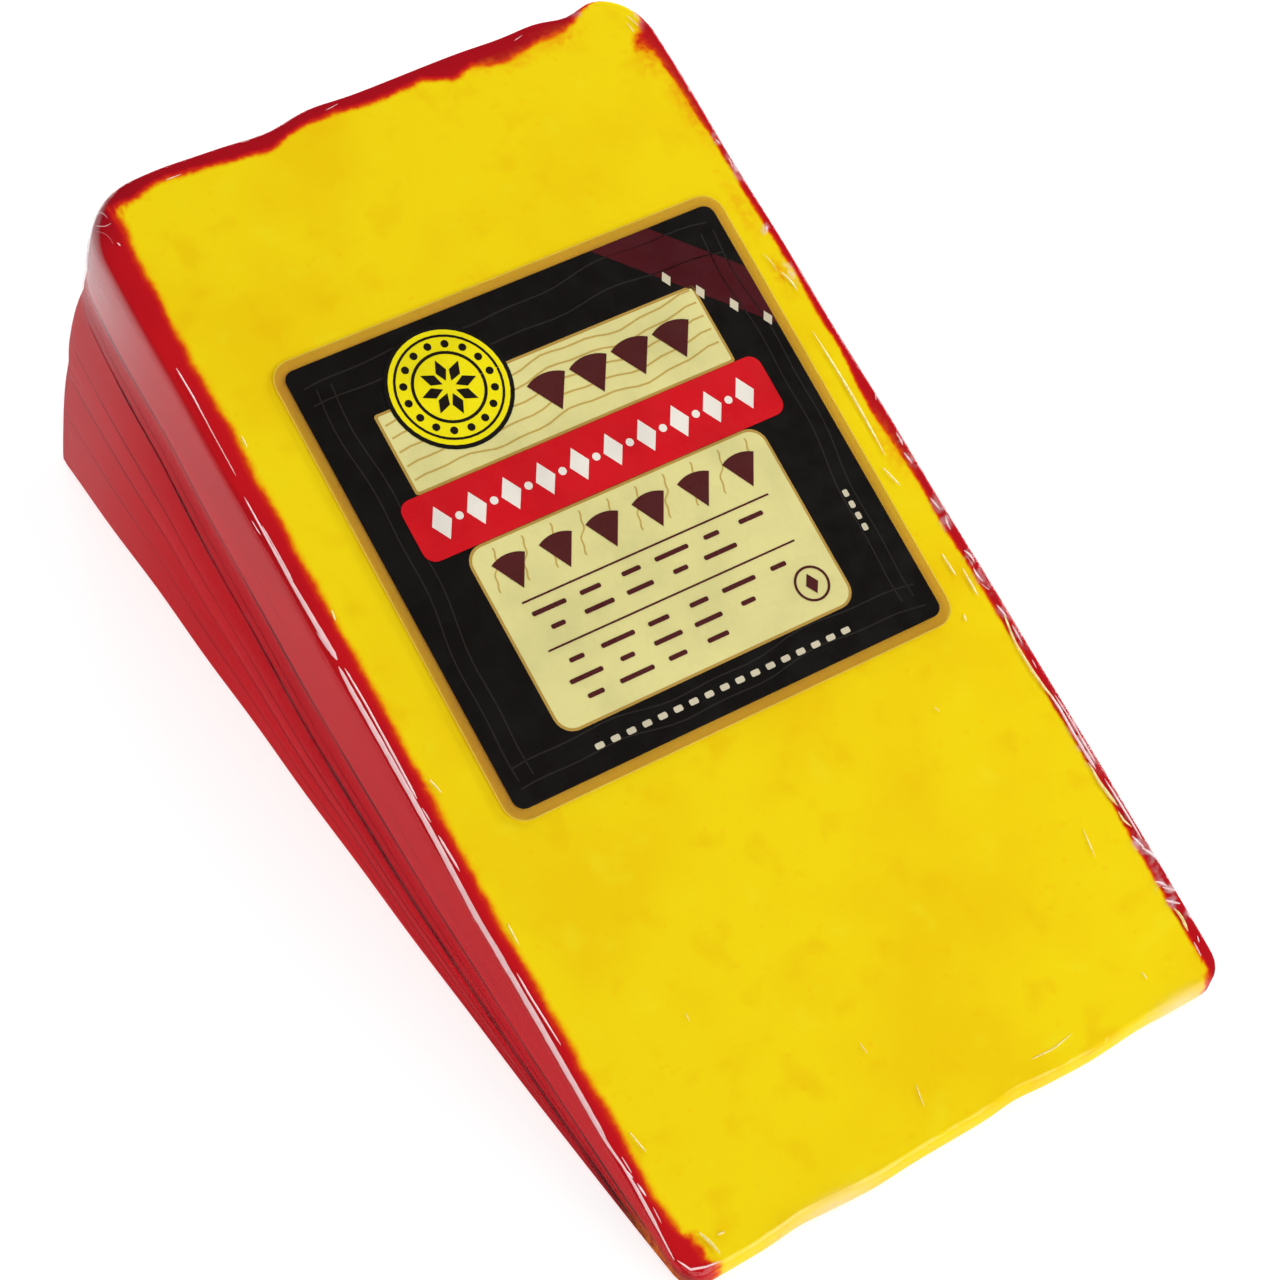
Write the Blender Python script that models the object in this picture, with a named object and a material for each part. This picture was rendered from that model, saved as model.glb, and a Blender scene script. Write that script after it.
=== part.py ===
"""A wedge of red-waxed cheddar, sealed in clear skin-tight film, with a square label on its upper cut face.

The wedge is cut from a round wheel. It lies on one cut face, so X runs along the wheel's axis, +Y points
from the thin edge at the wheel's middle to its waxed rim, and +Z is up. Sizes are in metres.
"""
import bmesh
import bpy
from math import cos, exp, hypot, pi, radians, sin
from mathutils import Matrix, Vector

MM = 0.001

# The wheel and the cut
WHEEL_HEIGHT = 100.4 * MM
WHEEL_RADIUS = 181.8 * MM
WEDGE_ANGLE = radians(20.3)
TIP_THICKNESS = 4.2 * MM

# Rounding of the edges and corners
EDGE_RADIUS = 1.1 * MM
EDGE_SHARE_OF_THICKNESS = 0.3
TIP_CORNER_RADIUS = 4.0 * MM
RIM_CORNER_LEFT = (3.5 * MM, 11.0 * MM)
RIM_CORNER_RIGHT = (6.0 * MM, 9.5 * MM)

# Uneven form: bulging waxed sides, waves along the rim and the thin edge, pressed lines on the waxed sides
SIDE_BULGE = 1.2 * MM
SIDE_BOW = 0.4 * MM
TIP_PINCH = 1.4 * MM
TIP_PINCH_AT_TOP = 0.4
RIM_WAVES = (
    (-35.0 * MM, 0.5 * MM, 7.0 * MM),
    (-17.0 * MM, -0.6 * MM, 5.0 * MM),
    (-8.5 * MM, 0.5 * MM, 5.0 * MM),
    (26.0 * MM, -0.4 * MM, 6.0 * MM),
    (37.5 * MM, -1.2 * MM, 4.0 * MM),
)
TIP_WAVES = (
    (-29.0 * MM, -0.5 * MM, 4.5 * MM),
    (-16.0 * MM, 0.3 * MM, 5.0 * MM),
    (10.0 * MM, -0.5 * MM, 4.0 * MM),
    (23.0 * MM, 0.25 * MM, 5.0 * MM),
    (34.0 * MM, -0.25 * MM, 4.0 * MM),
)
SIDE_LINES = (
    (0.56, 0.79, 0.5 * MM, 0.04),
    (0.25, 0.68, 0.8 * MM, 0.04),
    (0.10, 0.38, 0.4 * MM, 0.06),
)
SIDE_WAVE_HEIGHT = 0.12 * MM
SIDE_WAVE_LENGTH = 31.0 * MM

# Powers that say how fast each uneven form fades inwards from where it is strongest
RIM_WAVE_FADE = 8
TIP_WAVE_FADE = 40
TIP_PINCH_FADE = 8
SIDE_FADE = 9

# Grid of the wedge's surface: cells across, along and up, and how many of them round each edge
CELLS_ACROSS = 26
CELLS_ALONG = 44
CELLS_UP = 18
EDGE_CELLS = 3

# Label
LABEL_WIDTH = 79.8 * MM
LABEL_LENGTH = 77.9 * MM
LABEL_CORNER = 3.5 * MM
LABEL_THICKNESS = 0.3 * MM
LABEL_GAP = 0.3 * MM
LABEL_ACROSS = 2.7 * MM
LABEL_ALONG = 106.5 * MM
LABEL_TURN = radians(-1.5)

WEDGE_RED = (0.42, 0.012, 0.02, 1.0)
LABEL_BLACK = (0.012, 0.010, 0.009, 1.0)


def clear_scene():
    """Removes every object that the scene holds."""
    for thing in list(bpy.data.objects):
        bpy.data.objects.remove(thing, do_unlink=True)


def new_collection(name):
    """A collection linked to the scene."""
    collection = bpy.data.collections.new(name)
    bpy.context.scene.collection.children.link(collection)
    return collection


def finish(name, colour, roughness):
    """A Principled material with one colour and one roughness."""
    material = bpy.data.materials.new(name)
    material.use_nodes = True
    shader = material.node_tree.nodes["Principled BSDF"]
    shader.inputs["Base Color"].default_value = colour
    shader.inputs["Roughness"].default_value = roughness
    shader.inputs["Metallic"].default_value = 0.0
    return material


def waves(place, bumps):
    """Sum of smooth bumps, each given by its place, height and half width."""
    return sum(height * exp(-(((place - centre) / width) ** 2)) for centre, height, width in bumps)


def thickness(along):
    """Thickness of the wedge, measured round the wheel's axis, at a distance from the thin edge."""
    return TIP_THICKNESS + max(along, 0.0) * WEDGE_ANGLE


def grid_place(index, cells, length, strip):
    """Distance of a grid line from the start of a side whose two end strips hold EDGE_CELLS cells each."""
    if index <= EDGE_CELLS:
        return strip * index / EDGE_CELLS
    if index >= cells - EDGE_CELLS:
        return length - strip * (cells - index) / EDGE_CELLS
    return strip + (length - 2 * strip) * (index - EDGE_CELLS) / (cells - 2 * EDGE_CELLS)


def corner_radius(across, along, share):
    """Radius, seen from above, of the nearest upright corner at this share of the wedge's thickness."""
    if along < WHEEL_RADIUS / 2:
        return TIP_CORNER_RADIUS
    low, high = RIM_CORNER_LEFT if across < 0 else RIM_CORNER_RIGHT
    return low + (high - low) * share


def inset_from_outline(across, along, inset, radius):
    """Moves a point of the plain rectangle to the outline with round corners, at an inset from it."""
    half = WHEEL_HEIGHT / 2
    side = -1.0 if across < 0 else 1.0
    end = -1.0 if along < WHEEL_RADIUS / 2 else 1.0
    limit = WHEEL_RADIUS if end > 0 else 0.0
    past_side = abs(across) - (half - radius)
    past_end = end * (along - limit) + radius
    if past_side > 0 and past_end > 0:
        reach = (radius - inset) / hypot(past_side, past_end)
        across = side * (half - radius + past_side * reach)
        along = limit - end * (radius - past_end * reach)
        return across, along
    if past_side > radius - inset:
        across = side * (half - inset)
    if past_end > radius - inset:
        along = limit - end * inset
    return across, along


def side_relief(along, share):
    """How far a waxed side stands out: a bulge, a bow, a pinch at the thin edge, the pressed lines and waves."""
    run = min(max(along / WHEEL_RADIUS, 0.0), 1.0)
    relief = (SIDE_BULGE * sin(pi * share) + SIDE_BOW * (1 - share)) * sin(pi * run) ** 2
    relief -= TIP_PINCH * (1 - (1 - TIP_PINCH_AT_TOP) * share) * (1 - run) ** TIP_PINCH_FADE
    for tip_share, rim_share, depth, width in SIDE_LINES:
        place = tip_share + (rim_share - tip_share) * run
        relief -= depth * run * exp(-(((share - place) / width) ** 2))
    return relief + SIDE_WAVE_HEIGHT * sin(2 * pi * along / SIDE_WAVE_LENGTH) * run


def wedge_point(column, row, level):
    """Place of a point of the wedge's surface from its line in each direction of the grid."""
    across = grid_place(column, CELLS_ACROSS, WHEEL_HEIGHT, EDGE_RADIUS) - WHEEL_HEIGHT / 2
    along = grid_place(row, CELLS_ALONG, WHEEL_RADIUS, EDGE_RADIUS)
    deep = thickness(along)
    rounding = min(EDGE_RADIUS, EDGE_SHARE_OF_THICKNESS * deep)
    up = grid_place(level, CELLS_UP, deep, rounding)

    inset = min(WHEEL_HEIGHT / 2 - abs(across), along, WHEEL_RADIUS - along)
    depth = min(up, deep - up)
    on_cut_face = level in (0, CELLS_UP)
    if on_cut_face and inset < EDGE_RADIUS:
        turn = pi / 4 * (1 + inset / EDGE_RADIUS)
    elif not on_cut_face and depth < rounding:
        turn = pi / 4 * (1 - depth / rounding)
    else:
        turn = pi / 2 if on_cut_face else 0.0
    if on_cut_face:
        depth = rounding * (1 - sin(turn))
        inset = EDGE_RADIUS * (1 - cos(turn)) if inset < EDGE_RADIUS else inset
    else:
        inset = EDGE_RADIUS * (1 - cos(turn))
        depth = rounding * (1 - sin(turn)) if turn > 0 else depth
    up = depth if level <= CELLS_UP / 2 else deep - depth
    share = up / deep

    across, along = inset_from_outline(across, along, inset, corner_radius(across, along, share))
    run = along / WHEEL_RADIUS
    across_share = across / (WHEEL_HEIGHT / 2)
    along += waves(across, RIM_WAVES) * run**RIM_WAVE_FADE - waves(across, TIP_WAVES) * (1 - run) ** TIP_WAVE_FADE
    across += side_relief(along, share) * across_share**SIDE_FADE
    angle = share * WEDGE_ANGLE
    return Vector((across, along * cos(angle), along * sin(angle) + share * TIP_THICKNESS))


def gridded_cube():
    """A unit cube whose faces are cut into the grid's cells, one direction after another."""
    cube = bmesh.new()
    bmesh.ops.create_cube(cube, size=1.0, matrix=Matrix.Translation((0.5, 0.5, 0.5)))
    for axis, cells in enumerate((CELLS_ACROSS, CELLS_ALONG, CELLS_UP)):
        lengthwise = [
            edge for edge in cube.edges
            if abs(edge.verts[0].co[axis] - edge.verts[1].co[axis]) > 0.5
        ]
        bmesh.ops.subdivide_edges(cube, edges=lengthwise, cuts=cells - 1, use_grid_fill=True)
    return cube


def make_wedge(collection):
    """The sealed wedge: a gridded cube whose points are moved to the wedge's surface. Returns it and its middle."""
    surface = gridded_cube()
    for point in surface.verts:
        column = round(point.co.x * CELLS_ACROSS)
        row = round(point.co.y * CELLS_ALONG)
        level = round(point.co.z * CELLS_UP)
        point.co = wedge_point(column, row, level)
    middle = Vector((
        (min(p.co.x for p in surface.verts) + max(p.co.x for p in surface.verts)) / 2,
        (min(p.co.y for p in surface.verts) + max(p.co.y for p in surface.verts)) / 2,
        0.0,
    ))
    bmesh.ops.translate(surface, verts=surface.verts, vec=-middle)
    bmesh.ops.triangulate(surface, faces=surface.faces)
    bmesh.ops.recalc_face_normals(surface, faces=surface.faces)
    mesh = bpy.data.meshes.new("cheddar_wedge")
    surface.to_mesh(mesh)
    surface.free()
    mesh.shade_smooth()
    mesh.materials.append(finish("waxed_cheese", WEDGE_RED, 0.3))
    wedge = bpy.data.objects.new("cheddar_wedge", mesh)
    collection.objects.link(wedge)
    return wedge, middle


def rounded_square(width, length, radius, steps=6):
    """Outline of a rectangle with round corners, as a list of points."""
    points = []
    for quarter in range(4):
        side_x = 1 if quarter in (0, 3) else -1
        side_y = 1 if quarter in (0, 1) else -1
        centre = Vector((side_x * (width / 2 - radius), side_y * (length / 2 - radius), 0.0))
        for step in range(steps + 1):
            angle = pi / 2 * (quarter + step / steps)
            points.append(centre + radius * Vector((cos(angle), sin(angle), 0.0)))
    return points


def make_label(collection, middle):
    """The label: a thin square with round corners, just above the upper cut face and level with it."""
    outline = bpy.data.curves.new("label", "CURVE")
    outline.dimensions = "2D"
    outline.fill_mode = "BOTH"
    outline.extrude = LABEL_THICKNESS / 2
    points = rounded_square(LABEL_WIDTH, LABEL_LENGTH, LABEL_CORNER)
    spline = outline.splines.new("POLY")
    spline.points.add(len(points) - 1)
    for place, point in zip(spline.points, points):
        place.co = (*point, 1.0)
    spline.use_cyclic_u = True
    outline.materials.append(finish("label", LABEL_BLACK, 0.35))
    label = bpy.data.objects.new("label", outline)
    collection.objects.link(label)
    slope = Matrix.Rotation(WEDGE_ANGLE, 4, "X")
    up = LABEL_GAP + LABEL_THICKNESS / 2
    on_face = Matrix.Translation((LABEL_ACROSS, LABEL_ALONG, up)) @ Matrix.Rotation(LABEL_TURN, 4, "Z")
    lift = Matrix.Translation(Vector((0.0, 0.0, TIP_THICKNESS)) - middle)
    label.matrix_world = lift @ slope @ on_face
    return label


def main():
    """Builds the wedge and its label."""
    clear_scene()
    collection = new_collection("cheddar_block")
    wedge, middle = make_wedge(collection)
    label = make_label(collection, middle)
    root = bpy.data.objects.new("cheddar_block_root", None)
    collection.objects.link(root)
    for piece in (wedge, label):
        piece.parent = root


main()
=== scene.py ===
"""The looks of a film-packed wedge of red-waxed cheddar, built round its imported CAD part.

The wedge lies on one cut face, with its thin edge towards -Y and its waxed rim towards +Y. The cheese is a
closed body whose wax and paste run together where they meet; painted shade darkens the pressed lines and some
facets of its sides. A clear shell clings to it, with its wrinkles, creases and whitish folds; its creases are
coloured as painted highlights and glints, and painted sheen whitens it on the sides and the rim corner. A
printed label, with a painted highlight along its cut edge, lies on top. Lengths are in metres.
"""

import logging
import random
from dataclasses import dataclass
from enum import Enum
from math import cos, pi, radians, sin

import bmesh
import bpy
import numpy as np
from mathutils import Matrix, Vector, noise
from mathutils.bvhtree import BVHTree


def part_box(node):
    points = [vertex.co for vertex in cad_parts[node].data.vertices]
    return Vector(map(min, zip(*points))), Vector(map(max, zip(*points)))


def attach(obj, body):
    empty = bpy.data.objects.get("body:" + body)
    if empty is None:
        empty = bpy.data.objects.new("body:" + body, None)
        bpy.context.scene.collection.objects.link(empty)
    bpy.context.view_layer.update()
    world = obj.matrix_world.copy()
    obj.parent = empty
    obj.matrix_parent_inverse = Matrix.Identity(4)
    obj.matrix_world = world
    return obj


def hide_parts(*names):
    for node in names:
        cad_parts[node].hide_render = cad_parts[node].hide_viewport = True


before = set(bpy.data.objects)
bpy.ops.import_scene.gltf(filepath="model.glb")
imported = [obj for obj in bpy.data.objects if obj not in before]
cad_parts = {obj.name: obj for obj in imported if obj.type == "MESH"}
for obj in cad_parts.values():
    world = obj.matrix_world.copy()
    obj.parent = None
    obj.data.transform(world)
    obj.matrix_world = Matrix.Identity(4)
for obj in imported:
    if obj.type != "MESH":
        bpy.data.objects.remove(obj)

MM = 0.001
LEVEL_STRIP = 0.1  # share of the wedge's height that the cells round each edge take up

Colour = tuple[float, float, float, float]
Loop = list[tuple[float, float]]
Place = tuple[float, float, float, float]
Rows = tuple[tuple[float, ...], ...]
Socket = bpy.types.NodeSocket

# The two pressed lines of each side: share of the wedge's angle at the thin edge and at the rim.
UPPER_LINE = (0.555, 0.792)
LOWER_LINE = (0.237, 0.687)


class Node(Enum):
    """The solids of the CAD part."""

    WEDGE = "cheddar_wedge"
    LABEL = "label"


class Slot(Enum):
    """The material slots."""

    WAXED_CHEESE = "waxed_cheese"
    LABEL = "label"


def screen_colour(red: int, green: int, blue: int) -> Colour:
    """Turns a screen colour into a linear one.

    Args:
        red: Red, from 0 to 255.
        green: Green, from 0 to 255.
        blue: Blue, from 0 to 255.

    Returns:
        The linear colour with full alpha.
    """
    channels = []
    for level in (red, green, blue):
        share = level / 255
        channels.append(share / 12.92 if share <= 0.04045 else ((share + 0.055) / 1.055) ** 2.4)
    return (*channels, 1.0)


def smooth_noise(points: np.ndarray, size: tuple[float, float, float], seed: float) -> np.ndarray:
    """Evaluates smooth noise at points.

    Args:
        points: Points, one a row.
        size: Size of the noise's features in each direction.
        seed: Number that picks one noise out of many.

    Returns:
        A value from about -1 to 1 for each point.
    """
    shift = Vector((seed, 1.7 * seed, -seed))
    places = points / np.array(size)
    return np.array([noise.noise(Vector(place) + shift) for place in places])


def bell(distance: np.ndarray, width: float) -> np.ndarray:
    """A smooth bump of height 1 round distance 0."""
    return np.exp(-((distance / width) ** 2))


def between(start: float | np.ndarray, end: float | np.ndarray, share: np.ndarray) -> np.ndarray:
    """The value that lies a share of the way from one number to another."""
    return start + (end - start) * share


def graded_lines(length: float, strip: float, cells: int, edge_cells: int) -> np.ndarray:
    """Places lattice lines from 0 to a length, with set numbers of cells in the strip at each end.

    Args:
        length: Where the last line lies.
        strip: Width of the strip at each end.
        cells: Number of cells in all.
        edge_cells: Number of cells in each strip.

    Returns:
        The places of the lines, in order.
    """
    low = np.linspace(0.0, strip, edge_cells + 1)
    inner = np.linspace(strip, length - strip, cells - 2 * edge_cells + 1)
    return np.concatenate((low[:-1], inner, length - low[-2::-1]))


def box_lattice(cells: tuple[int, int, int]) -> tuple[np.ndarray, np.ndarray]:
    """Lays a lattice on the surface of a box.

    Args:
        cells: Number of cells in each direction.

    Returns:
        The lattice places of the points, and the quads that join the points, facing out.
    """
    places = np.indices([count + 1 for count in cells]).reshape(3, -1).T
    on_surface = ((places == 0) | (places == np.array(cells))).any(axis=1)
    numbers = np.full(len(places), -1)
    numbers[on_surface] = np.arange(on_surface.sum())
    numbers = numbers.reshape([count + 1 for count in cells])
    quads = []
    for axis in range(3):
        for end in (0, cells[axis]):
            sheet = np.take(numbers, end, axis=axis)
            corners = (sheet[:-1, :-1], sheet[1:, :-1], sheet[1:, 1:], sheet[:-1, 1:])
            faces = np.stack(corners, axis=-1).reshape(-1, 4)
            faces_out = (end > 0) != (axis == 1)
            quads.append(faces if faces_out else faces[:, ::-1])
    return places[on_surface], np.concatenate(quads)


def point_normals(points: np.ndarray, quads: np.ndarray) -> np.ndarray:
    """Averages the normals of the quads round each point.

    Args:
        points: Points, one a row.
        quads: Numbers of each quad's points.

    Returns:
        One unit normal a row.
    """
    corners = points[quads]
    crosses = np.cross(corners[:, 2] - corners[:, 0], corners[:, 3] - corners[:, 1])
    normals = np.zeros_like(points)
    for corner in range(4):
        np.add.at(normals, quads[:, corner], crosses)
    return normals / np.linalg.norm(normals, axis=1, keepdims=True)


def mesh_piece(name: str, points: np.ndarray, faces: list, material: bpy.types.Material) -> bpy.types.Object:
    """Makes an object from points and faces.

    Args:
        name: Name of the piece.
        points: Points, one a row.
        faces: Numbers of each face's points.
        material: Finish of the piece.

    Returns:
        The object, linked to the scene.
    """
    mesh = bpy.data.meshes.new(name)
    mesh.from_pydata([tuple(point) for point in points], [], [tuple(face) for face in faces])
    mesh.materials.append(material)
    mesh.update()
    piece = bpy.data.objects.new(name, mesh)
    bpy.context.scene.collection.objects.link(piece)
    return piece


def ring_quads(first: int, count: int) -> list[tuple[int, ...]]:
    """Joins a ring of points to the ring after it.

    Args:
        first: Number of the first ring's first point.
        count: Number of points in each ring.

    Returns:
        The numbers of each quad's points.
    """
    quads = []
    for corner in range(count):
        after = (corner + 1) % count
        quads.append((first + corner, first + after, first + count + after, first + count + corner))
    return quads


def clean_normals(piece: bpy.types.Object) -> None:
    """Turns the faces of a closed piece outwards.

    Args:
        piece: The piece.
    """
    shape = bmesh.new()
    shape.from_mesh(piece.data)
    bmesh.ops.recalc_face_normals(shape, faces=shape.faces)
    shape.to_mesh(piece.data)
    shape.free()


def store(piece: bpy.types.Object, name: str, values: np.ndarray) -> None:
    """Keeps one number for each point of a piece, for its material to read."""
    attribute = piece.data.attributes.new(name, "FLOAT", "POINT")
    attribute.data.foreach_set("value", values.astype(np.float32))


def place_in_frame(piece: bpy.types.Object, node: Node) -> None:
    """Makes a piece ride on the part's body and stand for a CAD node.

    Args:
        piece: The piece.
        node: The CAD node that it stands for.
    """
    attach(piece, "root")
    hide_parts(node.value)
    logging.info("%s: %d faces", piece.name, len(piece.data.polygons))


def fill_ramp(node: bpy.types.ShaderNodeValToRGB, stops: tuple[tuple[float, Colour], ...]) -> None:
    """Sets the stops of a row of colours.

    Args:
        node: The node that holds the row.
        stops: Place and colour of each stop.
    """
    elements = node.color_ramp.elements
    while len(elements) < len(stops):
        elements.new(1.0)
    for element, (place, colour) in zip(elements, stops):
        element.position = place
        element.color = colour


class MaterialMaker:
    """Builds one node material round a Principled shader."""

    def __init__(self, name: str) -> None:
        """Starts a material.

        Args:
            name: Name of the material.
        """
        self.material = bpy.data.materials.new(name)
        self.material.use_nodes = True
        self.tree = self.material.node_tree
        self.shader = self.tree.nodes["Principled BSDF"]
        self.places = self.tree.nodes.new("ShaderNodeTexCoord").outputs["Object"]

    def join(self, value: object, socket: Socket) -> None:
        """Feeds a socket from another socket, or sets its own value.

        Args:
            value: A socket, a number or a colour.
            socket: The socket that takes it.
        """
        if isinstance(value, Socket):
            self.tree.links.new(value, socket)
        else:
            socket.default_value = value

    def set(self, **values: object) -> None:
        """Sets the shader's sockets, named in lower case with low lines for spaces.

        Args:
            values: A socket, number or colour for each.
        """
        for socket in self.shader.inputs:
            key = socket.name.lower().replace(" ", "_")
            if key in values:
                self.join(values.pop(key), socket)
        if values:
            raise KeyError(f"the shader has no socket for {sorted(values)}")

    def attribute(self, name: str) -> Socket:
        """Reads a number kept on the mesh's points.

        Args:
            name: Name of the attribute.

        Returns:
            The number.
        """
        node = self.tree.nodes.new("ShaderNodeAttribute")
        node.attribute_name = name
        return node.outputs["Fac"]

    def noise(self, size: float, detail: float = 2.0, stretch: tuple = (1.0, 1.0, 1.0)) -> Socket:
        """Noise in the piece's own space.

        Args:
            size: Size of its features.
            detail: How many finer layers it has.
            stretch: How many times longer the features are in each direction.

        Returns:
            A value from 0 to 1.
        """
        mapping = self.tree.nodes.new("ShaderNodeMapping")
        mapping.inputs["Scale"].default_value = [1.0 / (size * times) for times in stretch]
        self.join(self.places, mapping.inputs["Vector"])
        node = self.tree.nodes.new("ShaderNodeTexNoise")
        node.inputs["Scale"].default_value = 1.0
        node.inputs["Detail"].default_value = detail
        self.join(mapping.outputs["Vector"], node.inputs["Vector"])
        return node.outputs[0]

    def maths(self, operation: str, *values: object, clamp: bool = False) -> Socket:
        """One step of arithmetic.

        Args:
            operation: Name of the operation.
            values: Its sockets or numbers.
            clamp: Whether the result is held between 0 and 1.

        Returns:
            The result.
        """
        node = self.tree.nodes.new("ShaderNodeMath")
        node.operation = operation
        node.use_clamp = clamp
        for value, socket in zip(values, node.inputs):
            self.join(value, socket)
        return node.outputs[0]

    def spread(
        self, value: object, low: float, high: float, start: float = 0.0, end: float = 1.0
    ) -> Socket:
        """Carries a range of values over to another one, smoothly and clamped.

        Args:
            value: The socket to carry over.
            low: Lower end of the first range.
            high: Upper end of the first range.
            start: Result at the lower end.
            end: Result at the upper end.

        Returns:
            The result.
        """
        node = self.tree.nodes.new("ShaderNodeMapRange")
        node.interpolation_type = "SMOOTHSTEP"
        keys = ("Value", "From Min", "From Max", "To Min", "To Max")
        for key, number in zip(keys, (value, low, high, start, end)):
            self.join(number, node.inputs[key])
        return node.outputs[0]

    def ramp(self, value: object, stops: tuple[tuple[float, Colour], ...]) -> Socket:
        """Looks a colour up on a row of stops.

        Args:
            value: Place on the row, from 0 to 1.
            stops: Place and colour of each stop.

        Returns:
            The colour.
        """
        node = self.tree.nodes.new("ShaderNodeValToRGB")
        fill_ramp(node, stops)
        self.join(value, node.inputs["Fac"])
        return node.outputs["Color"]

    def blend(self, share: object, first: object, second: object) -> Socket:
        """Mixes two colours.

        Args:
            share: Share of the second colour.
            first: The first colour.
            second: The second colour.

        Returns:
            The mixed colour.
        """
        node = self.tree.nodes.new("ShaderNodeMix")
        node.data_type = "RGBA"
        for value, number in zip((share, first, second), (0, 6, 7)):
            self.join(value, node.inputs[number])
        return node.outputs[2]

    def relief(self, height: object, depth: float, strength: object = 1.0) -> Socket:
        """Turns a height into small relief of the surface.

        Args:
            height: The height, from 0 to 1.
            depth: Depth that 1 stands for.
            strength: Share of the relief that shows.

        Returns:
            The normal.
        """
        node = self.tree.nodes.new("ShaderNodeBump")
        node.inputs["Distance"].default_value = depth
        self.join(strength, node.inputs["Strength"])
        self.join(height, node.inputs["Height"])
        return node.outputs["Normal"]


@dataclass(frozen=True)
class WaxedCheeseFinish:
    """Yellow cheese and its red wax, which run together through orange where they meet."""

    paste: Colour = screen_colour(248, 218, 20)
    paste_warm: Colour = screen_colour(242, 198, 14)
    paste_pale: Colour = screen_colour(247, 228, 36)
    wax: Colour = screen_colour(200, 24, 32)
    wax_crimson: Colour = screen_colour(156, 18, 30)
    wax_line_shade: Colour = screen_colour(70, 6, 14)
    orange_red: Colour = screen_colour(214, 52, 18)
    orange: Colour = screen_colour(238, 130, 12)
    orange_yellow: Colour = screen_colour(242, 182, 10)
    rim_height: float = 64.4 * MM
    # Painted shade in the pressed lines and folds of the sides: share at the thin edge, share at the rim,
    # width in millimetres and strength.
    lines: Rows = (
        (*UPPER_LINE, 0.45, 0.9), (*LOWER_LINE, 0.80, 1.0), (0.40, 0.745, 0.28, 0.7),
        (0.30, 0.70, 0.3, 0.8), (0.15, 0.52, 0.38, 0.8), (0.08, 0.37, 0.42, 0.6),
        (0.03, 0.22, 0.4, 0.45), (0.70, 0.90, 0.2, 0.3),
    )

    def make(self) -> bpy.types.Material:
        """Makes the material.

        Returns:
            The material.
        """
        maker = MaterialMaker("waxed_cheese")
        coarse = maker.noise(5.5 * MM, 1.0)
        maker.set(
            base_color=self.surface(maker, coarse),
            roughness=maker.spread(coarse, 0.3, 0.7, 0.4, 0.52),
            specular_ior_level=0.0,
            normal=maker.relief(maker.noise(2.6 * MM, 1.0), 0.05 * MM, 0.3),
        )
        return maker.material

    def surface(self, maker: MaterialMaker, coarse: Socket) -> Socket:
        """Colours wax and paste by how far each point lies inside the wax's edge.

        Args:
            maker: The material that is being built.
            coarse: Noise that makes the wax's edge wander.

        Returns:
            The colour.
        """
        fine = maker.noise(1.1 * MM, 2.0)
        wander = maker.maths("MULTIPLY_ADD", coarse, 2.2, maker.maths("MULTIPLY_ADD", fine, 0.9, -1.55))
        ragged = maker.attribute("wax_ragged")
        depth = maker.maths("MULTIPLY_ADD", wander, ragged, maker.attribute("wax_depth"))
        place = maker.spread(depth, -2.0, 2.0)
        clouds = maker.noise(24 * MM, 2.0)
        paste = self.paste_colour(maker, clouds)
        wax = self.wax_colour(maker, clouds)
        fringe = maker.ramp(place, (
            (0.26, self.wax),
            (0.46, self.orange_red),
            (0.60, self.orange),
            (0.74, self.orange_yellow),
        ))
        inner = maker.blend(maker.spread(place, 0.10, 0.36), wax, fringe)
        colour = maker.blend(maker.spread(place, 0.58, 0.92), inner, paste)
        smear = maker.maths("MULTIPLY", maker.attribute("smear"), maker.spread(fine, 0.15, 0.75))
        return maker.blend(smear, colour, self.orange)

    def paste_colour(self, maker: MaterialMaker, clouds: Socket) -> Socket:
        """Yellow paste with faint warm and pale clouds and specks.

        Args:
            maker: The material that is being built.
            clouds: Noise with large features.

        Returns:
            The colour.
        """
        patches = maker.noise(7 * MM, 3.0)
        specks = maker.spread(maker.noise(1.3 * MM, 1.0), 0.66, 0.78, 0.0, 0.25)
        colour = maker.blend(maker.spread(clouds, 0.42, 0.72, 0.0, 0.55), self.paste, self.paste_warm)
        colour = maker.blend(maker.spread(patches, 0.53, 0.74, 0.0, 0.6), colour, self.paste_warm)
        colour = maker.blend(specks, colour, self.orange_yellow)
        return maker.blend(maker.spread(patches, 0.42, 0.25, 0.0, 0.4), colour, self.paste_pale)

    def wax_colour(self, maker: MaterialMaker, clouds: Socket) -> Socket:
        """Red wax with dark scuffs, and fine lines of painted shade in the pressed lines and folds of the
        sides, which meet at the thin edge.

        Args:
            maker: The material that is being built.
            clouds: Noise with large features.

        Returns:
            The colour.
        """
        colour = maker.blend(maker.attribute("crimson"), self.wax, self.wax_crimson)
        scuffs = maker.spread(maker.noise(9 * MM, 2.0, (1.0, 4.0, 1.0)), 0.4, 0.8, 0.0, 0.3)
        colour = maker.blend(scuffs, colour, self.wax_crimson)
        share = maker.attribute("share")
        run = maker.attribute("run")
        jittered = maker.maths("ADD", share, maker.maths("MULTIPLY_ADD", clouds, 0.024, -0.012))
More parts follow.
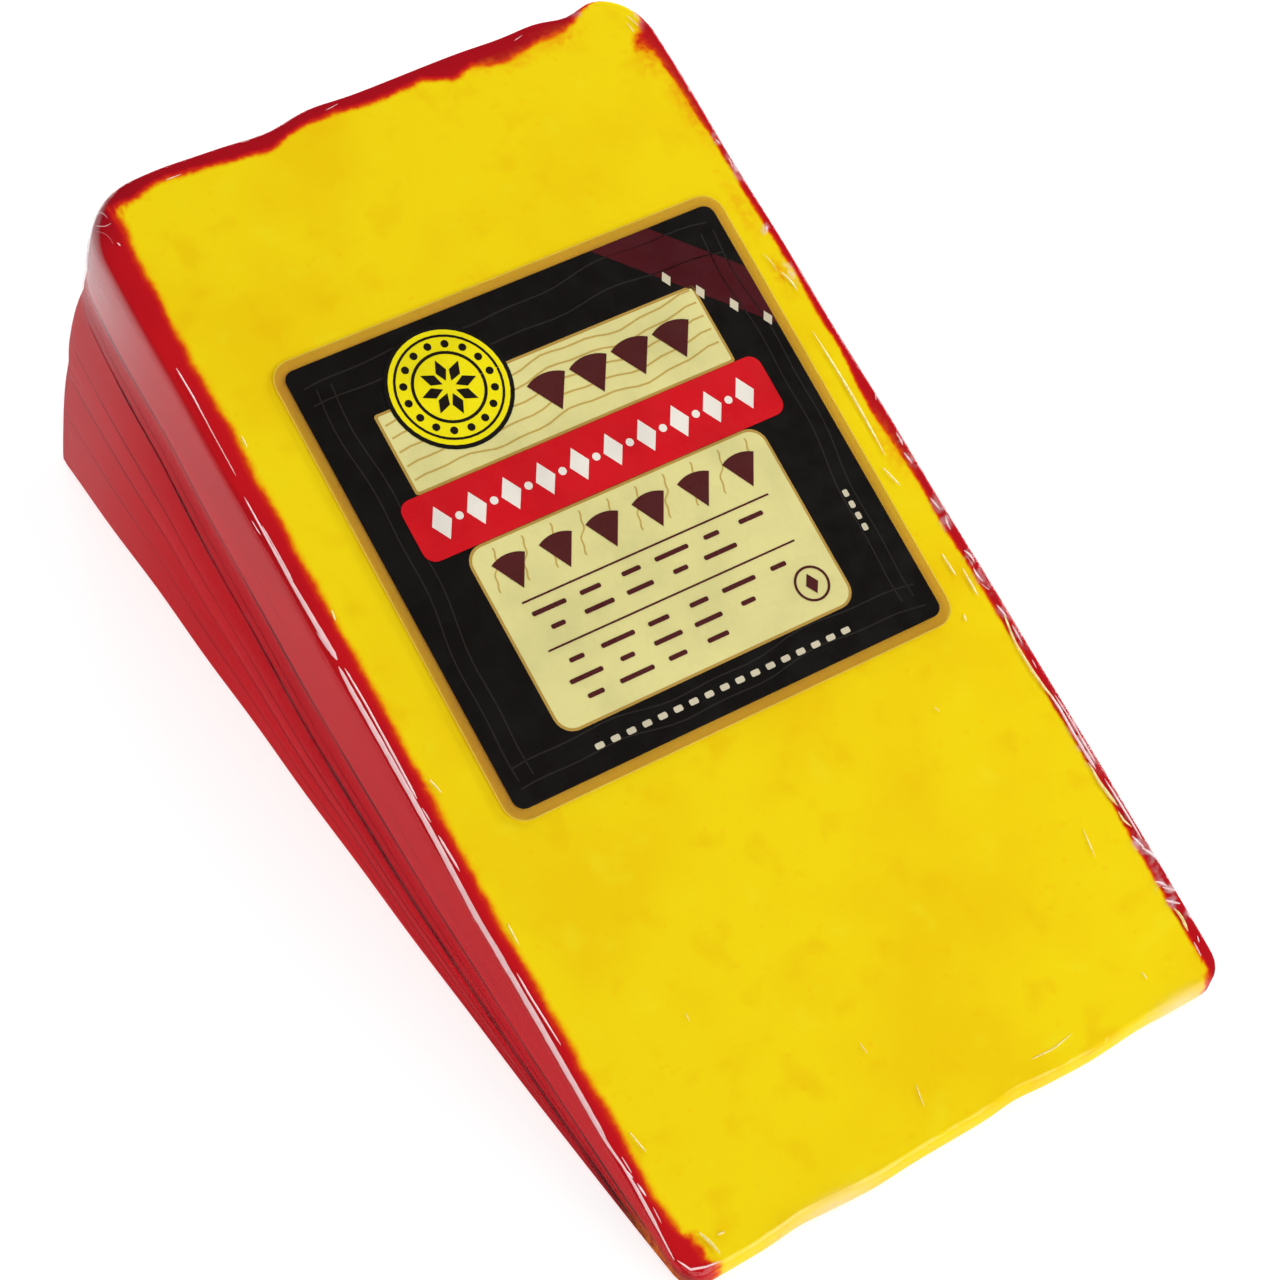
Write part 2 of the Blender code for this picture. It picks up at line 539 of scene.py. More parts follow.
        # Painted shade: dark lines where the grooves and folds of the sides lie in shade.
        scale = maker.maths("MULTIPLY", run, self.rim_height)
        dark = 0.0
        for tip_share, rim_share, width, strength in self.lines:
            place = maker.maths("MULTIPLY_ADD", run, rim_share - tip_share, tip_share)
            gap = maker.maths("ABSOLUTE", maker.maths("SUBTRACT", jittered, place))
            reach = maker.maths("MULTIPLY", gap, scale)
            line = maker.spread(reach, 0.2 * width * MM, width * MM, strength, 0.0)
            dark = maker.maths("MAXIMUM", dark, line)
        faded = maker.maths("MULTIPLY", dark, maker.spread(clouds, 0.3, 0.6, 0.5, 1.0))
        on_side = maker.maths("MULTIPLY", faded, maker.attribute("on_side"))
        return maker.blend(on_side, colour, self.wax_line_shade)


@dataclass(frozen=True)
class FilmFinish:
    """Clear film: it shows what lies under it, mirrors softly, and turns whitish where it is folded and where
    painted sheen and painted glints lie on it.
    """

    white: Colour = (1.0, 0.90, 0.92, 1.0)
    roughness: float = 0.09
    facing_gloss: float = 0.007
    grazing_gloss: float = 0.04
    grazing_power: float = 4.5

    def make(self) -> bpy.types.Material:
        """Makes the material.

        Returns:
            The material.
        """
        maker = MaterialMaker("clear_film")
        grazing = maker.tree.nodes.new("ShaderNodeLayerWeight").outputs["Facing"]
        sheen = maker.maths("MULTIPLY", maker.maths("POWER", grazing, self.grazing_power), self.grazing_gloss)
        broken = maker.spread(maker.noise(1.3 * MM, 1.0), 0.28, 0.68)
        # The whitening read from the mesh is partly folded film and partly painted sheen and painted glints.
        broken_milk_and_glints = maker.maths("MULTIPLY", maker.attribute("milky"), broken)
        cloud_and_sheen = maker.maths("ADD", broken_milk_and_glints, maker.attribute("sheen_and_haze"), clamp=True)
        gloss = maker.maths("ADD", sheen, self.facing_gloss)
        maker.set(
            base_color=self.white,
            metallic=maker.spread(cloud_and_sheen, 0.02, 0.12, 1.0, 0.0),
            roughness=self.roughness,
            alpha=maker.maths("ADD", gloss, cloud_and_sheen, clamp=True),
            normal=maker.relief(maker.noise(2.2 * MM, 2.0), 0.8 * MM, maker.attribute("crinkle")),
        )
        return maker.material


@dataclass(frozen=True)
class CreaseFinish:
    """A raised crease of film, coloured as a painted highlight along its length."""

    name: str
    colour: Colour
    alpha: float
    thinnest: float

    def make(self) -> bpy.types.Material:
        """Makes the material.

        Returns:
            The material.
        """
        maker = MaterialMaker(self.name)
        thin = maker.spread(maker.noise(1.4 * MM, 3.0), 0.3, 0.65, self.thinnest * self.alpha, self.alpha)
        maker.set(
            base_color=self.colour,
            roughness=0.25,
            alpha=thin,
            normal=maker.relief(maker.noise(0.5 * MM), 0.05 * MM, 0.4),
        )
        return maker.material


@dataclass(frozen=True)
class PrintFinish:
    """Printed colour on the label's smooth face."""

    name: str
    colour: Colour
    roughness: float = 0.24
    alpha: float = 1.0

    def make(self) -> bpy.types.Material:
        """Makes the material.

        Returns:
            The material.
        """
        maker = MaterialMaker(self.name)
        deeper = (*(0.86 * channel for channel in self.colour[:3]), 1.0)
        clouds = maker.spread(maker.noise(11 * MM, 4.0), 0.35, 0.75)
        maker.set(
            base_color=maker.blend(clouds, self.colour, deeper),
            roughness=maker.spread(maker.noise(4 * MM, 4.0), 0.3, 0.7, self.roughness, self.roughness + 0.1),
            specular_ior_level=0.2,
            alpha=self.alpha,
            normal=maker.relief(maker.noise(0.35 * MM, 3.0), 0.01 * MM, 0.4),
        )
        return maker.material


@dataclass(frozen=True)
class FloorFinish:
    """Plain white studio floor."""

    colour: Colour = (0.4, 0.4, 0.4, 1.0)
    glow_colour: Colour = (1.0, 1.0, 1.0, 1.0)
    glow: float = 0.76

    def make(self) -> bpy.types.Material:
        """Makes the material.

        Returns:
            The material.
        """
        maker = MaterialMaker("studio_floor")
        maker.set(base_color=self.colour, roughness=0.7, specular_ior_level=0.1)
        maker.set(emission_color=self.glow_colour, emission_strength=self.glow)
        return maker.material


@dataclass
class Skin:
    """Points of the wedge's surface, with where each lies, and half the wedge's width and its length."""

    points: np.ndarray
    quads: np.ndarray
    across: np.ndarray
    along: np.ndarray
    share: np.ndarray
    normals: np.ndarray
    half: float
    length: float

    @property
    def run(self) -> np.ndarray:
        """Share of the way from the thin edge to the rim."""
        return self.along / self.length

    @property
    def from_left(self) -> np.ndarray:
        """Distance from the left side."""
        return self.half + self.across

    @property
    def from_right(self) -> np.ndarray:
        """Distance from the right side."""
        return self.half - self.across

    @property
    def from_rim(self) -> np.ndarray:
        """Distance from the rim."""
        return self.length - self.along

    @property
    def from_corner(self) -> np.ndarray:
        """Distance from the left rim corner."""
        return np.hypot(self.from_left, self.from_rim)

    @property
    def upright(self) -> np.ndarray:
        """How upright the surface is, from 0 to 1."""
        return 1 - np.clip(np.abs(self.normals[:, 2]), 0.0, 1.0)

    def spot(self, across: float, along: float, wide: float, long: float) -> np.ndarray:
        """A smooth spot of height 1, placed and sized in millimetres."""
        return bell(self.across - across * MM, wide * MM) * bell(self.along - along * MM, long * MM)

    def above(self, line: tuple[float, float], blur: float) -> np.ndarray:
        """Share of each point above a line of the sides, with the blur given as a share of the angle."""
        return 1 / (1 + np.exp(-(self.share - between(*line, self.run)) / blur))


@dataclass(frozen=True)
class WedgeForm:
    """The sealed wedge's form, as the CAD part has it: a box whose surface is moved to the wedge's."""

    wheel_height: float = 100.4 * MM
    wheel_radius: float = 181.8 * MM
    wedge_angle: float = radians(20.3)
    tip_thickness: float = 4.2 * MM
    edge_radius: float = 1.1 * MM
    edge_share_of_thickness: float = 0.3
    tip_corner: float = 4.0 * MM
    rim_corner_left: tuple[float, float] = (3.5 * MM, 11.0 * MM)
    rim_corner_right: tuple[float, float] = (6.0 * MM, 9.5 * MM)
    side_bulge: float = 1.2 * MM
    side_bow: float = 0.4 * MM
    tip_pinch: float = 1.4 * MM
    tip_pinch_at_top: float = 0.4
    side_wave_height: float = 0.12 * MM
    side_wave_length: float = 31.0 * MM
    roll_rise: float = 0.35 * MM
    roll_sink: float = 0.75 * MM
    rim_waves: Rows = (
        (-35.0, 0.5, 7.0), (-17.0, -0.6, 5.0), (-8.5, 0.5, 5.0), (26.0, -0.4, 6.0), (37.5, -1.2, 4.0),
    )
    tip_waves: Rows = (
        (-29.0, -0.5, 4.5), (-16.0, 0.3, 5.0), (10.0, -0.5, 4.0), (23.0, 0.25, 5.0), (34.0, -0.25, 4.0),
    )
    side_lines: Rows = (
        (0.56, 0.79, 0.5 * MM, 0.04),
        (0.25, 0.68, 0.8 * MM, 0.04),
        (0.10, 0.38, 0.4 * MM, 0.06),
    )
    cad_cells: tuple[int, int, int] = (26, 44, 18)
    cad_edge_cells: int = 3

    @property
    def half(self) -> float:
        """Half of the wedge's width."""
        return self.wheel_height / 2

    @property
    def middle(self) -> np.ndarray:
        """Where the CAD part's origin lies, measured from the middle of the thin edge.

        Returns:
            The place across, along and up.
        """
        cad_skin = self.skin(self.cad_cells, self.cad_edge_cells, np.zeros(3))
        low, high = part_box(Node.WEDGE.value)
        own_middle = (cad_skin.points.min(axis=0) + cad_skin.points.max(axis=0)) / 2
        cad_middle = (np.array(low) + np.array(high)) / 2
        return own_middle - cad_middle

    def waves(self, place: np.ndarray, bumps: Rows) -> np.ndarray:
        """Sum of smooth bumps, each given by its place, height and half width in millimetres."""
        return sum(height * MM * bell(place - centre * MM, width * MM) for centre, height, width in bumps)

    def side_relief(self, along: np.ndarray, share: np.ndarray) -> np.ndarray:
        """How far a waxed side stands out.

        Args:
            along: Distance from the thin edge.
            share: Share of the wedge's angle, from the lower cut face to the upper one.

        Returns:
            The relief: a bulge, a bow, a pinch at the thin edge, pressed lines and waves.
        """
        run = np.clip(along / self.wheel_radius, 0.0, 1.0)
        relief = self.side_bulge * np.sin(pi * share) + self.side_bow * (1 - share)
        pinch = self.tip_pinch * (1 - (1 - self.tip_pinch_at_top) * share)
        relief = relief * np.sin(pi * run) ** 2 - pinch * (1 - run) ** 8
        for tip_share, rim_share, depth, width in self.side_lines:
            relief -= depth * run * bell(share - between(tip_share, rim_share, run), width)
        return relief + self.side_wave_height * np.sin(2 * pi * along / self.side_wave_length) * run

    def outline(
        self, across: np.ndarray, along: np.ndarray, inset: np.ndarray, share: np.ndarray
    ) -> tuple[np.ndarray, np.ndarray]:
        """Moves points of the plain rectangle to the outline with round corners, at an inset from it.

        Args:
            across: Places across the wedge.
            along: Distances from the thin edge.
            inset: Distances inside the outline.
            share: Shares of the wedge's angle.

        Returns:
            The new places across and along.
        """
        near_tip = along < self.wheel_radius / 2
        side = np.where(across < 0, -1.0, 1.0)
        end = np.where(near_tip, -1.0, 1.0)
        limit = np.where(near_tip, 0.0, self.wheel_radius)
        low = np.where(side < 0, self.rim_corner_left[0], self.rim_corner_right[0])
        high = np.where(side < 0, self.rim_corner_left[1], self.rim_corner_right[1])
        radius = np.where(near_tip, self.tip_corner, between(low, high, share))
        past_side = np.abs(across) - (self.half - radius)
        past_end = end * (along - limit) + radius
        in_corner = (past_side > 0) & (past_end > 0)
        reach = (radius - inset) / np.maximum(np.hypot(past_side, past_end), 1e-9)
        flat_across = np.where(past_side > radius - inset, side * (self.half - inset), across)
        flat_along = np.where(past_end > radius - inset, limit - end * inset, along)
        round_across = side * (self.half - radius + past_side * reach)
        round_along = limit - end * (radius - past_end * reach)
        return np.where(in_corner, round_across, flat_across), np.where(in_corner, round_along, flat_along)

    def skin(self, cells: tuple[int, int, int], edge_cells: int, middle: np.ndarray) -> Skin:
        """Lays a lattice on the wedge's surface.

        Args:
            cells: Number of cells across, along and up.
            edge_cells: How many of them round each edge.
            middle: Where the part's origin lies, measured from the middle of the thin edge.

        Returns:
            The surface's points and where each lies.
        """
        lattice, quads = box_lattice(cells)
        across = graded_lines(self.wheel_height, self.edge_radius, cells[0], edge_cells)
        across = across[lattice[:, 0]] - self.half
        along = graded_lines(self.wheel_radius, self.edge_radius, cells[1], edge_cells)[lattice[:, 1]]
        level = graded_lines(1.0, LEVEL_STRIP, cells[2], edge_cells)[lattice[:, 2]]
        on_cut_face = (lattice[:, 2] == 0) | (lattice[:, 2] == cells[2])

        deep = self.tip_thickness + along * self.wedge_angle
        rounding = np.minimum(self.edge_radius, self.edge_share_of_thickness * deep)
        low_strip = np.clip(level / LEVEL_STRIP, 0.0, 1.0)
        high_strip = np.clip((level - 1 + LEVEL_STRIP) / LEVEL_STRIP, 0.0, 1.0)
        between = np.clip((level - LEVEL_STRIP) / (1 - 2 * LEVEL_STRIP), 0.0, 1.0)
        up = rounding * (low_strip + high_strip) + (deep - 2 * rounding) * between

        inset = np.minimum(self.half - np.abs(across), np.minimum(along, self.wheel_radius - along))
        depth = np.minimum(up, deep - up)
        cut_turn = pi / 4 * (1 + np.minimum(inset / self.edge_radius, 1.0))
        side_turn = pi / 4 * (1 - np.minimum(depth / rounding, 1.0))
        turn = np.where(on_cut_face, cut_turn, side_turn)
        round_depth = rounding * (1 - np.sin(turn))
        round_inset = self.edge_radius * (1 - np.cos(turn))
        depth = np.where(on_cut_face | (turn > 0), round_depth, depth)
        inset = np.where(on_cut_face & (inset >= self.edge_radius), inset, round_inset)
        share = np.where(level <= 0.5, depth, deep - depth) / deep

        across, along = self.outline(across, along, inset, share)
        run = along / self.wheel_radius
        rim_shift = self.waves(across, self.rim_waves) * run**8
        tip_shift = self.waves(across, self.tip_waves) * np.clip(1 - run, 0.0, 1.0) ** 40
        along = along + rim_shift - tip_shift
        across = across + self.side_relief(along, share) * (across / self.half) ** 9
        points = self.at(across, along, share) - middle
        normals = point_normals(points, quads)
        return Skin(points, quads, across, along, share, normals, self.half, self.wheel_radius)

    def corner_roll(self, skin: Skin) -> np.ndarray:
        """How far the left rim corner's rolled top stands out, and the side below it sinks in."""
        rise = self.roll_rise * bell(skin.from_corner, 7 * MM) * bell(skin.share - 0.97, 0.07)
        return rise - self.roll_sink * bell(skin.from_corner, 10 * MM) * bell(skin.share - 0.72, 0.13)

    def at(self, across: np.ndarray, along: np.ndarray, share: np.ndarray) -> np.ndarray:
        """Finds the point at a place across and along the wedge and at a share of its angle.

        Args:
            across: Places across the wedge.
            along: Distances from the thin edge.
            share: Shares of the wedge's angle.

        Returns:
            The points, one a row.
        """
        angle = share * self.wedge_angle
        up = along * np.sin(angle) + share * self.tip_thickness
        return np.stack((across, along * np.cos(angle), up), axis=-1)

    def face_matrix(self, middle: np.ndarray) -> Matrix:
        """Matrix of the upper cut face: X across it, Y from the thin edge up its slope."""
        origin = Vector((0.0, 0.0, self.tip_thickness)) - Vector(middle)
        return Matrix.Translation(origin) @ Matrix.Rotation(self.wedge_angle, 4, "X")


@dataclass(frozen=True)
class WaxedCheese:
    """The cheese in its wax: a body a film's gap inside the sealed form."""

    form: WedgeForm
    middle: np.ndarray
    cells: tuple[int, int, int] = (76, 132, 50)
    edge_cells: int = 4
    gap: float = 0.22 * MM
    nose_setback: float = 0.25 * MM
    left_band: Rows = (
        (2, 3.6), (9, 3.6), (14, 3.0), (60, 3.2), (100, 4.0), (143, 4.6), (165, 5.1), (175, 5.8),
    )
    right_band: Rows = (
        (0, 3.2), (12, 3.0), (25, 2.4), (60, 2.1), (92, 2.2), (100, 2.4), (106, 2.4), (112, 1.7), (128, 1.5),
        (150, 1.7), (160, 1.9), (166, 2.4), (172, 2.2), (176, 1.4), (178, 1.9), (180, 2.9), (181.5, 4.0),
    )
    rim_band: Rows = (
        (-46, 3.1), (-31, 2.5), (-18, 3.3), (-12, 2.3), (2, 2.9), (10, 2.4), (15, 4.2),
        (19, 3.3), (24, 4.4), (32, 3.4), (37, 2.2), (40.5, 0.5), (46, 0.3),
    )
    left_blur: float = 1.1 * MM
    right_blur: float = 0.5 * MM
    rim_blur: float = 0.75 * MM
    line_blur: float = 0.015
    patch_blur: float = 1.2 * MM
    left_ragged: float = 0.6
    ragged: float = 1.0
    patch_ragged: float = 1.5
    sides_below: float = 0.985
    sides_blur: float = 0.02
    sides_depth: float = 12.0
    deepest: float = 8.0
    smear_strength: float = 0.85
    thin_wax_strength: float = 0.75
    patches: Rows = (
        (-48.9, 3.4, 4.0), (-47.4, 0.2, 2.9), (49.5, 0.0, 3.6), (49.8, 172.6, 2.6), (48.6, 170.6, 1.9),
        (47.3, 171.9, 1.3),
    )
    smears: Rows = (
        (47.0, 95.0, 1.0, 5.0), (46.4, 128.0, 1.0, 2.0), (46.0, 168.0, 1.4, 2.0), (47.4, 160.0, 1.0, 7.0),
        (34.0, 177.2, 3.6, 1.2), (26.6, 176.6, 2.5, 0.8), (20.7, 177.2, 2.0, 0.7), (46.8, 140.0, 0.8, 5.0),
    )

    def band(self, places: np.ndarray, widths: Rows) -> np.ndarray:
        """Width of the wax seen from above, from a few places and widths in millimetres."""
        table = np.array(widths, dtype=float) * MM
        return np.interp(places, table[:, 0], table[:, 1])

    def wax_depth(self, skin: Skin) -> tuple[np.ndarray, np.ndarray]:
        """Measures how far inside the wax's edge each point lies.

        Args:
            skin: The body's surface.

        Returns:
            The depth, in widths of the blur there and negative in the wax, and how ragged the edge is.
        """
        rim = self.form.wheel_radius + self.form.waves(skin.across, self.form.rim_waves)
        left = (skin.from_left - self.band(skin.along, self.left_band)) / self.left_blur
        right = (skin.from_right - self.band(skin.along, self.right_band)) / self.right_blur
        end = (rim - skin.along - self.band(skin.across, self.rim_band)) / self.rim_blur
        depth = np.minimum(np.minimum(left, right), end)
        ragged = np.where(left <= np.minimum(right, end), self.left_ragged, self.ragged)
        for across, along, radius in self.patches:
            reach = np.hypot(skin.across - across * MM, skin.along - along * MM)
            patch = (reach - radius * MM) / self.patch_blur
            ragged = np.where(patch < np.minimum(depth, 1.5), self.patch_ragged, ragged)
            depth = np.minimum(depth, patch)
        away_from_nose = skin.normals[:, 1] > -0.5
        below_top = np.clip((self.sides_below - skin.share) / self.sides_blur, 0.0, 1.0)
        depth -= self.sides_depth * below_top * skin.upright * away_from_nose
        return np.clip(depth, -self.deepest, self.deepest), ragged

    def smear(self, skin: Skin) -> np.ndarray:
        """Places the orange smears that the wax left on the paste, and the thin wax beside the thin edge.

        Args:
            skin: The body's surface.

        Returns:
            The smears' strength.
        """
        smears = np.max([skin.spot(*smear) for smear in self.smears], axis=0)
        thin_wax = bell(skin.share - 0.3, 0.3) * bell(skin.along - 7 * MM, 6 * MM) * (skin.across < 0)
        smears *= self.smear_strength * (skin.share > 0.5)
        return smears + self.thin_wax_strength * thin_wax * skin.upright

    def crimson(self, skin: Skin) -> np.ndarray:
        """How far the wax goes towards crimson: most at the rim, the right edge and the left corner, and
        facet by facet on the sides as painted shade.

        Args:
            skin: The body's surface.

        Returns:
            A share for each point.
        """
        deep = 0.35 * bell(skin.from_right, 5 * MM) + 0.75 * bell(skin.from_rim, 6 * MM)
        deep += 0.9 * bell(skin.from_corner, 8 * MM) * bell(skin.share - 1, 0.15)
        above = skin.above(UPPER_LINE, self.line_blur)
        below = 1 - skin.above(LOWER_LINE, self.line_blur)
        middle = (1 - above) * (1 - below)
        # On the sides the crimson is painted shade, set facet by facet between the pressed lines and deeper
        # towards the rim.
        side = skin.upright * (0.15 * above + 0.6 * middle + 0.3 * below) * (0.3 + 0.7 * skin.run)
        return np.clip(0.05 + np.maximum(deep, side), 0.0, 1.0)

    def build(self) -> None:
        """Builds and dresses the body."""
        skin = self.form.skin(self.cells, self.edge_cells, self.middle)
        nose = np.clip(1 - skin.run, 0.0, 1.0) ** 60
        points = skin.points + (self.form.corner_roll(skin) - self.gap)[:, None] * skin.normals
        points[:, 1] += self.nose_setback * nose
        piece = mesh_piece("waxed_cheese", points, skin.quads, WaxedCheeseFinish().make())
        piece.data.shade_smooth()
        depth, ragged = self.wax_depth(skin)
        store(piece, "wax_depth", depth)
        store(piece, "wax_ragged", ragged)
        store(piece, "smear", self.smear(skin))
        store(piece, "crimson", self.crimson(skin))
        store(piece, "share", skin.share)
        store(piece, "run", skin.run)
        store(piece, "on_side", np.clip(1.6 * np.abs(skin.normals[:, 0]) - 0.2, 0.0, 1.0))
        place_in_frame(piece, Node.WEDGE)


@dataclass(frozen=True)
class FilmWrap:
    """The clear film: a shell on the sealed form, with its wrinkles."""

    form: WedgeForm
    middle: np.ndarray
    cells: tuple[int, int, int] = (96, 176, 74)
    edge_cells: int = 5
    fine_size: tuple[float, float, float] = (2.2 * MM, 3.2 * MM, 2.2 * MM)
    coarse_size: tuple[float, float, float] = (6 * MM, 9 * MM, 5 * MM)
    stretched_size: tuple[float, float, float] = (4 * MM, 26 * MM, 2.6 * MM)
    ridge_width: float = 0.6 * MM
    line_blur: float = 0.02
    edge_glow: float = 0.9 * MM
    patch_strength: float = 0.6
    side_ridges: Rows = (
        (0.57, 0.81, 0.16), (0.26, 0.71, 0.22), (0.21, 0.65, 0.16), (0.12, 0.47, 0.14), (0.06, 0.30, 0.10),
        (0.72, 0.93, 0.08),
    )
    # Painted glints on the right edge and one at the rim, drawn as whitish film: across, along, width, length
    # in millimetres and strength.
    milky_patches: Rows = (
        (49.2, 152.0, 0.4, 1.0, 0.8), (49.2, 146.5, 0.45, 2.0, 0.8), (48.3, 135.3, 0.5, 0.6, 1.0),
        (48.0, 127.5, 0.4, 2.0, 0.6), (48.2, 174.8, 0.5, 1.6, 0.6),
        (49.0, 95.3, 0.5, 0.9, 0.6), (48.8, 92.2, 0.55, 1.2, 0.8), (48.4, 88.2, 0.4, 0.8, 0.5),
        (48.6, 84.0, 0.6, 1.3, 0.8), (48.5, 80.7, 0.6, 1.2, 0.9), (48.7, 74.4, 0.6, 1.2, 0.9),
        (48.6, 71.0, 0.6, 1.3, 0.9), (48.8, 68.5, 0.5, 1.0, 0.7), (48.7, 64.3, 0.6, 1.3, 0.8),
        (48.8, 59.5, 0.45, 2.0, 0.6), (48.6, 47.0, 0.5, 3.5, 0.6), (48.6, 40.0, 0.7, 3.5, 0.9),
        (49.0, 30.0, 0.4, 3.0, 0.4), (48.0, 23.6, 0.8, 1.0, 0.9), (48.7, 21.4, 0.9, 1.0, 0.9),
        (48.3, 18.7, 0.6, 0.7, 0.7), (47.6, 16.4, 0.8, 0.8, 0.9), (48.6, 15.3, 0.9, 0.8, 0.9),
        (47.7, 13.4, 0.9, 0.8, 0.9), (49.0, 10.4, 0.4, 0.6, 0.8), (40.5, 179.9, 2.5, 0.5, 0.3),
    )

    def wrinkles(self, skin: Skin) -> np.ndarray:
        """Height of the film's wrinkles over the sealed form.

        Args:
            skin: The form's surface.

        Returns:
            The height at each point.
        """
        fine = smooth_noise(skin.points, self.fine_size, 3.1)
        coarse = smooth_noise(skin.points, self.coarse_size, 8.4)
        stretched = smooth_noise(skin.points, self.stretched_size, 5.7)
        height = 0.10 * fine * bell(skin.from_right - 0.5 * MM, 3.2 * MM)
        height += 0.10 * coarse * bell(skin.from_right, 7 * MM)
        height += 0.05 * stretched * bell(skin.from_left, 4 * MM)
        height += 0.10 * (fine + coarse) * bell(skin.from_rim, 5 * MM)
        height += 0.30 * fine * bell(skin.from_corner, 10 * MM)
        height += 0.12 * fine * bell(skin.along, 4 * MM)
        ridges = 0.02 * stretched
        for tip_share, rim_share, rise in self.side_ridges:
            gap = (skin.share - between(tip_share, rim_share, skin.run)) * self.form.wedge_angle * skin.along
            ridges += 0.5 * rise * bell(gap, self.ridge_width) * skin.run
        from_side = np.minimum(skin.from_left, skin.from_right)
        on_side = bell(from_side, 1.5 * MM) * (skin.normals[:, 2] <= 0.5)
        return (height + on_side * ridges) * MM

    def crinkle(self, skin: Skin) -> np.ndarray:
        """How strongly the film's finest relief shows.

        Args:
            skin: The form's surface.

        Returns:
            A share for each point: most at the left rim corner and along the right edge.
        """
        strength = 0.005 + 0.12 * bell(skin.from_right, 3 * MM) + 0.05 * bell(skin.along, 2 * MM)
        strength += 0.08 * bell(skin.from_rim, 4 * MM)
        return strength + 0.5 * bell(skin.from_corner, 7 * MM) * bell(skin.share - 1, 0.12)

    def sheen_and_haze(self, skin: Skin, edge: np.ndarray) -> np.ndarray:
        """How far the film whitens: painted sheen, a painted reflection, over the sides, the rim and the left
        rim corner, and folded film at the thin edge.

        Args:
            skin: The form's surface.
            edge: How near each point is to the thin edge.

        Returns:
            A share for each point.
        """
        on_left = np.clip(-1.15 * skin.normals[:, 0], 0.0, 1.0)
        on_side = np.clip(1.15 * np.abs(skin.normals[:, 0]), 0.0, 1.0)
        # Painted sheen: a painted reflection on the sides above the upper pressed line, growing towards the
        # rim.
        sheen_and_haze = on_side * skin.above(UPPER_LINE, self.line_blur) * (0.015 + 0.12 * skin.run**3)
        sheen_and_haze += on_left * 0.28 * bell(skin.from_corner, 16 * MM) * bell(skin.share - 0.88, 0.13)
        sheen_and_haze += on_left * 0.07 * bell(skin.from_corner, 26 * MM)
        sheen_and_haze += 0.02 * bell(skin.from_rim, 3 * MM) * skin.upright
        folded = 0.30 * bell(skin.across + 26 * MM, 7 * MM) + 0.26 * bell(skin.across - 40 * MM, 6 * MM)
        return sheen_and_haze + edge * (0.02 + folded)

    def build(self) -> bpy.types.Object:
        """Builds and dresses the shell.

        Returns:
            The shell.
        """
        skin = self.form.skin(self.cells, self.edge_cells, self.middle)
        height = self.wrinkles(skin) + self.form.corner_roll(skin)
        underneath = skin.normals[:, 2] < -0.3
        height = np.where(underneath, np.minimum(height, 0.0), height)
        points = skin.points + height[:, None] * skin.normals
        points[:, 2] = np.maximum(points[:, 2], 0.0)
        piece = mesh_piece("film_wrap", points, skin.quads, FilmFinish().make())
        piece.data.shade_smooth()
        edge = np.exp(-np.clip(skin.along, 0, None) / self.edge_glow)
        # Whitish film along the thin edge, and painted glints at the listed patches on the right edge.
        patches = sum(strength * skin.spot(*place) for *place, strength in self.milky_patches)
        milky = 0.04 * edge + self.patch_strength * patches * (skin.share > 0.5)
        store(piece, "crinkle", np.clip(self.crinkle(skin), 0.0, 1.0))
        store(piece, "milky", np.clip(milky, 0.0, 0.9))
        store(piece, "sheen_and_haze", np.clip(self.sheen_and_haze(skin, edge), 0.0, 0.5))
        place_in_frame(piece, Node.WEDGE)
        return piece


@dataclass(frozen=True)
class Crease:
    """One short crease of film on the upper cut face or an edge of it, in millimetres and degrees."""

    across: float
    along: float
    length: float
    turn: float
    width: float = 0.45
    height: float = 0.025
    bend: float = 0.0

    def places(self) -> list[Place]:
        """Lays the crease's middle line.

        Returns:
            Place across and along the cut face, width and height of each of its points.
        """
        steps = 9
        turn = radians(self.turn)
        line = []
        for step in range(steps + 1):
            share = step / steps
            taper = sin(pi * (0.04 + 0.92 * share)) ** 0.6
            reach = self.length * (share - 0.5)
            sag = self.bend * sin(pi * share)
            across = self.across + sin(turn) * reach + cos(turn) * sag
            along = self.along + cos(turn) * reach - sin(turn) * sag
            line.append((across, along, self.width * taper, self.height * taper))
        return line


@dataclass(frozen=True)
class Fold:
    """A long fold of film through a few places: across, along and width there, in millimetres."""

    points: Rows
    height: float = 0.03
    spacing: float = 1.0

    def places(self) -> list[Place]:
        """Lays the fold's middle line.

        Returns:
            Place across and along the cut face, width and height of each of its points.
        """
        table = np.array(self.points)
        legs = np.hypot(*np.diff(table[:, :2], axis=0).T)
        reach = np.concatenate(([0.0], np.cumsum(legs)))
        spots = np.linspace(0.0, reach[-1], max(5, round(reach[-1] / self.spacing)))
        across, along, width = (np.interp(spots, reach, table[:, column]) for column in range(3))
        from_end = np.minimum(spots, reach[-1] - spots)
        taper = np.clip(0.25 + from_end / 1.2, 0.0, 1.0)
        return list(zip(across, along, width * taper, self.height * taper))


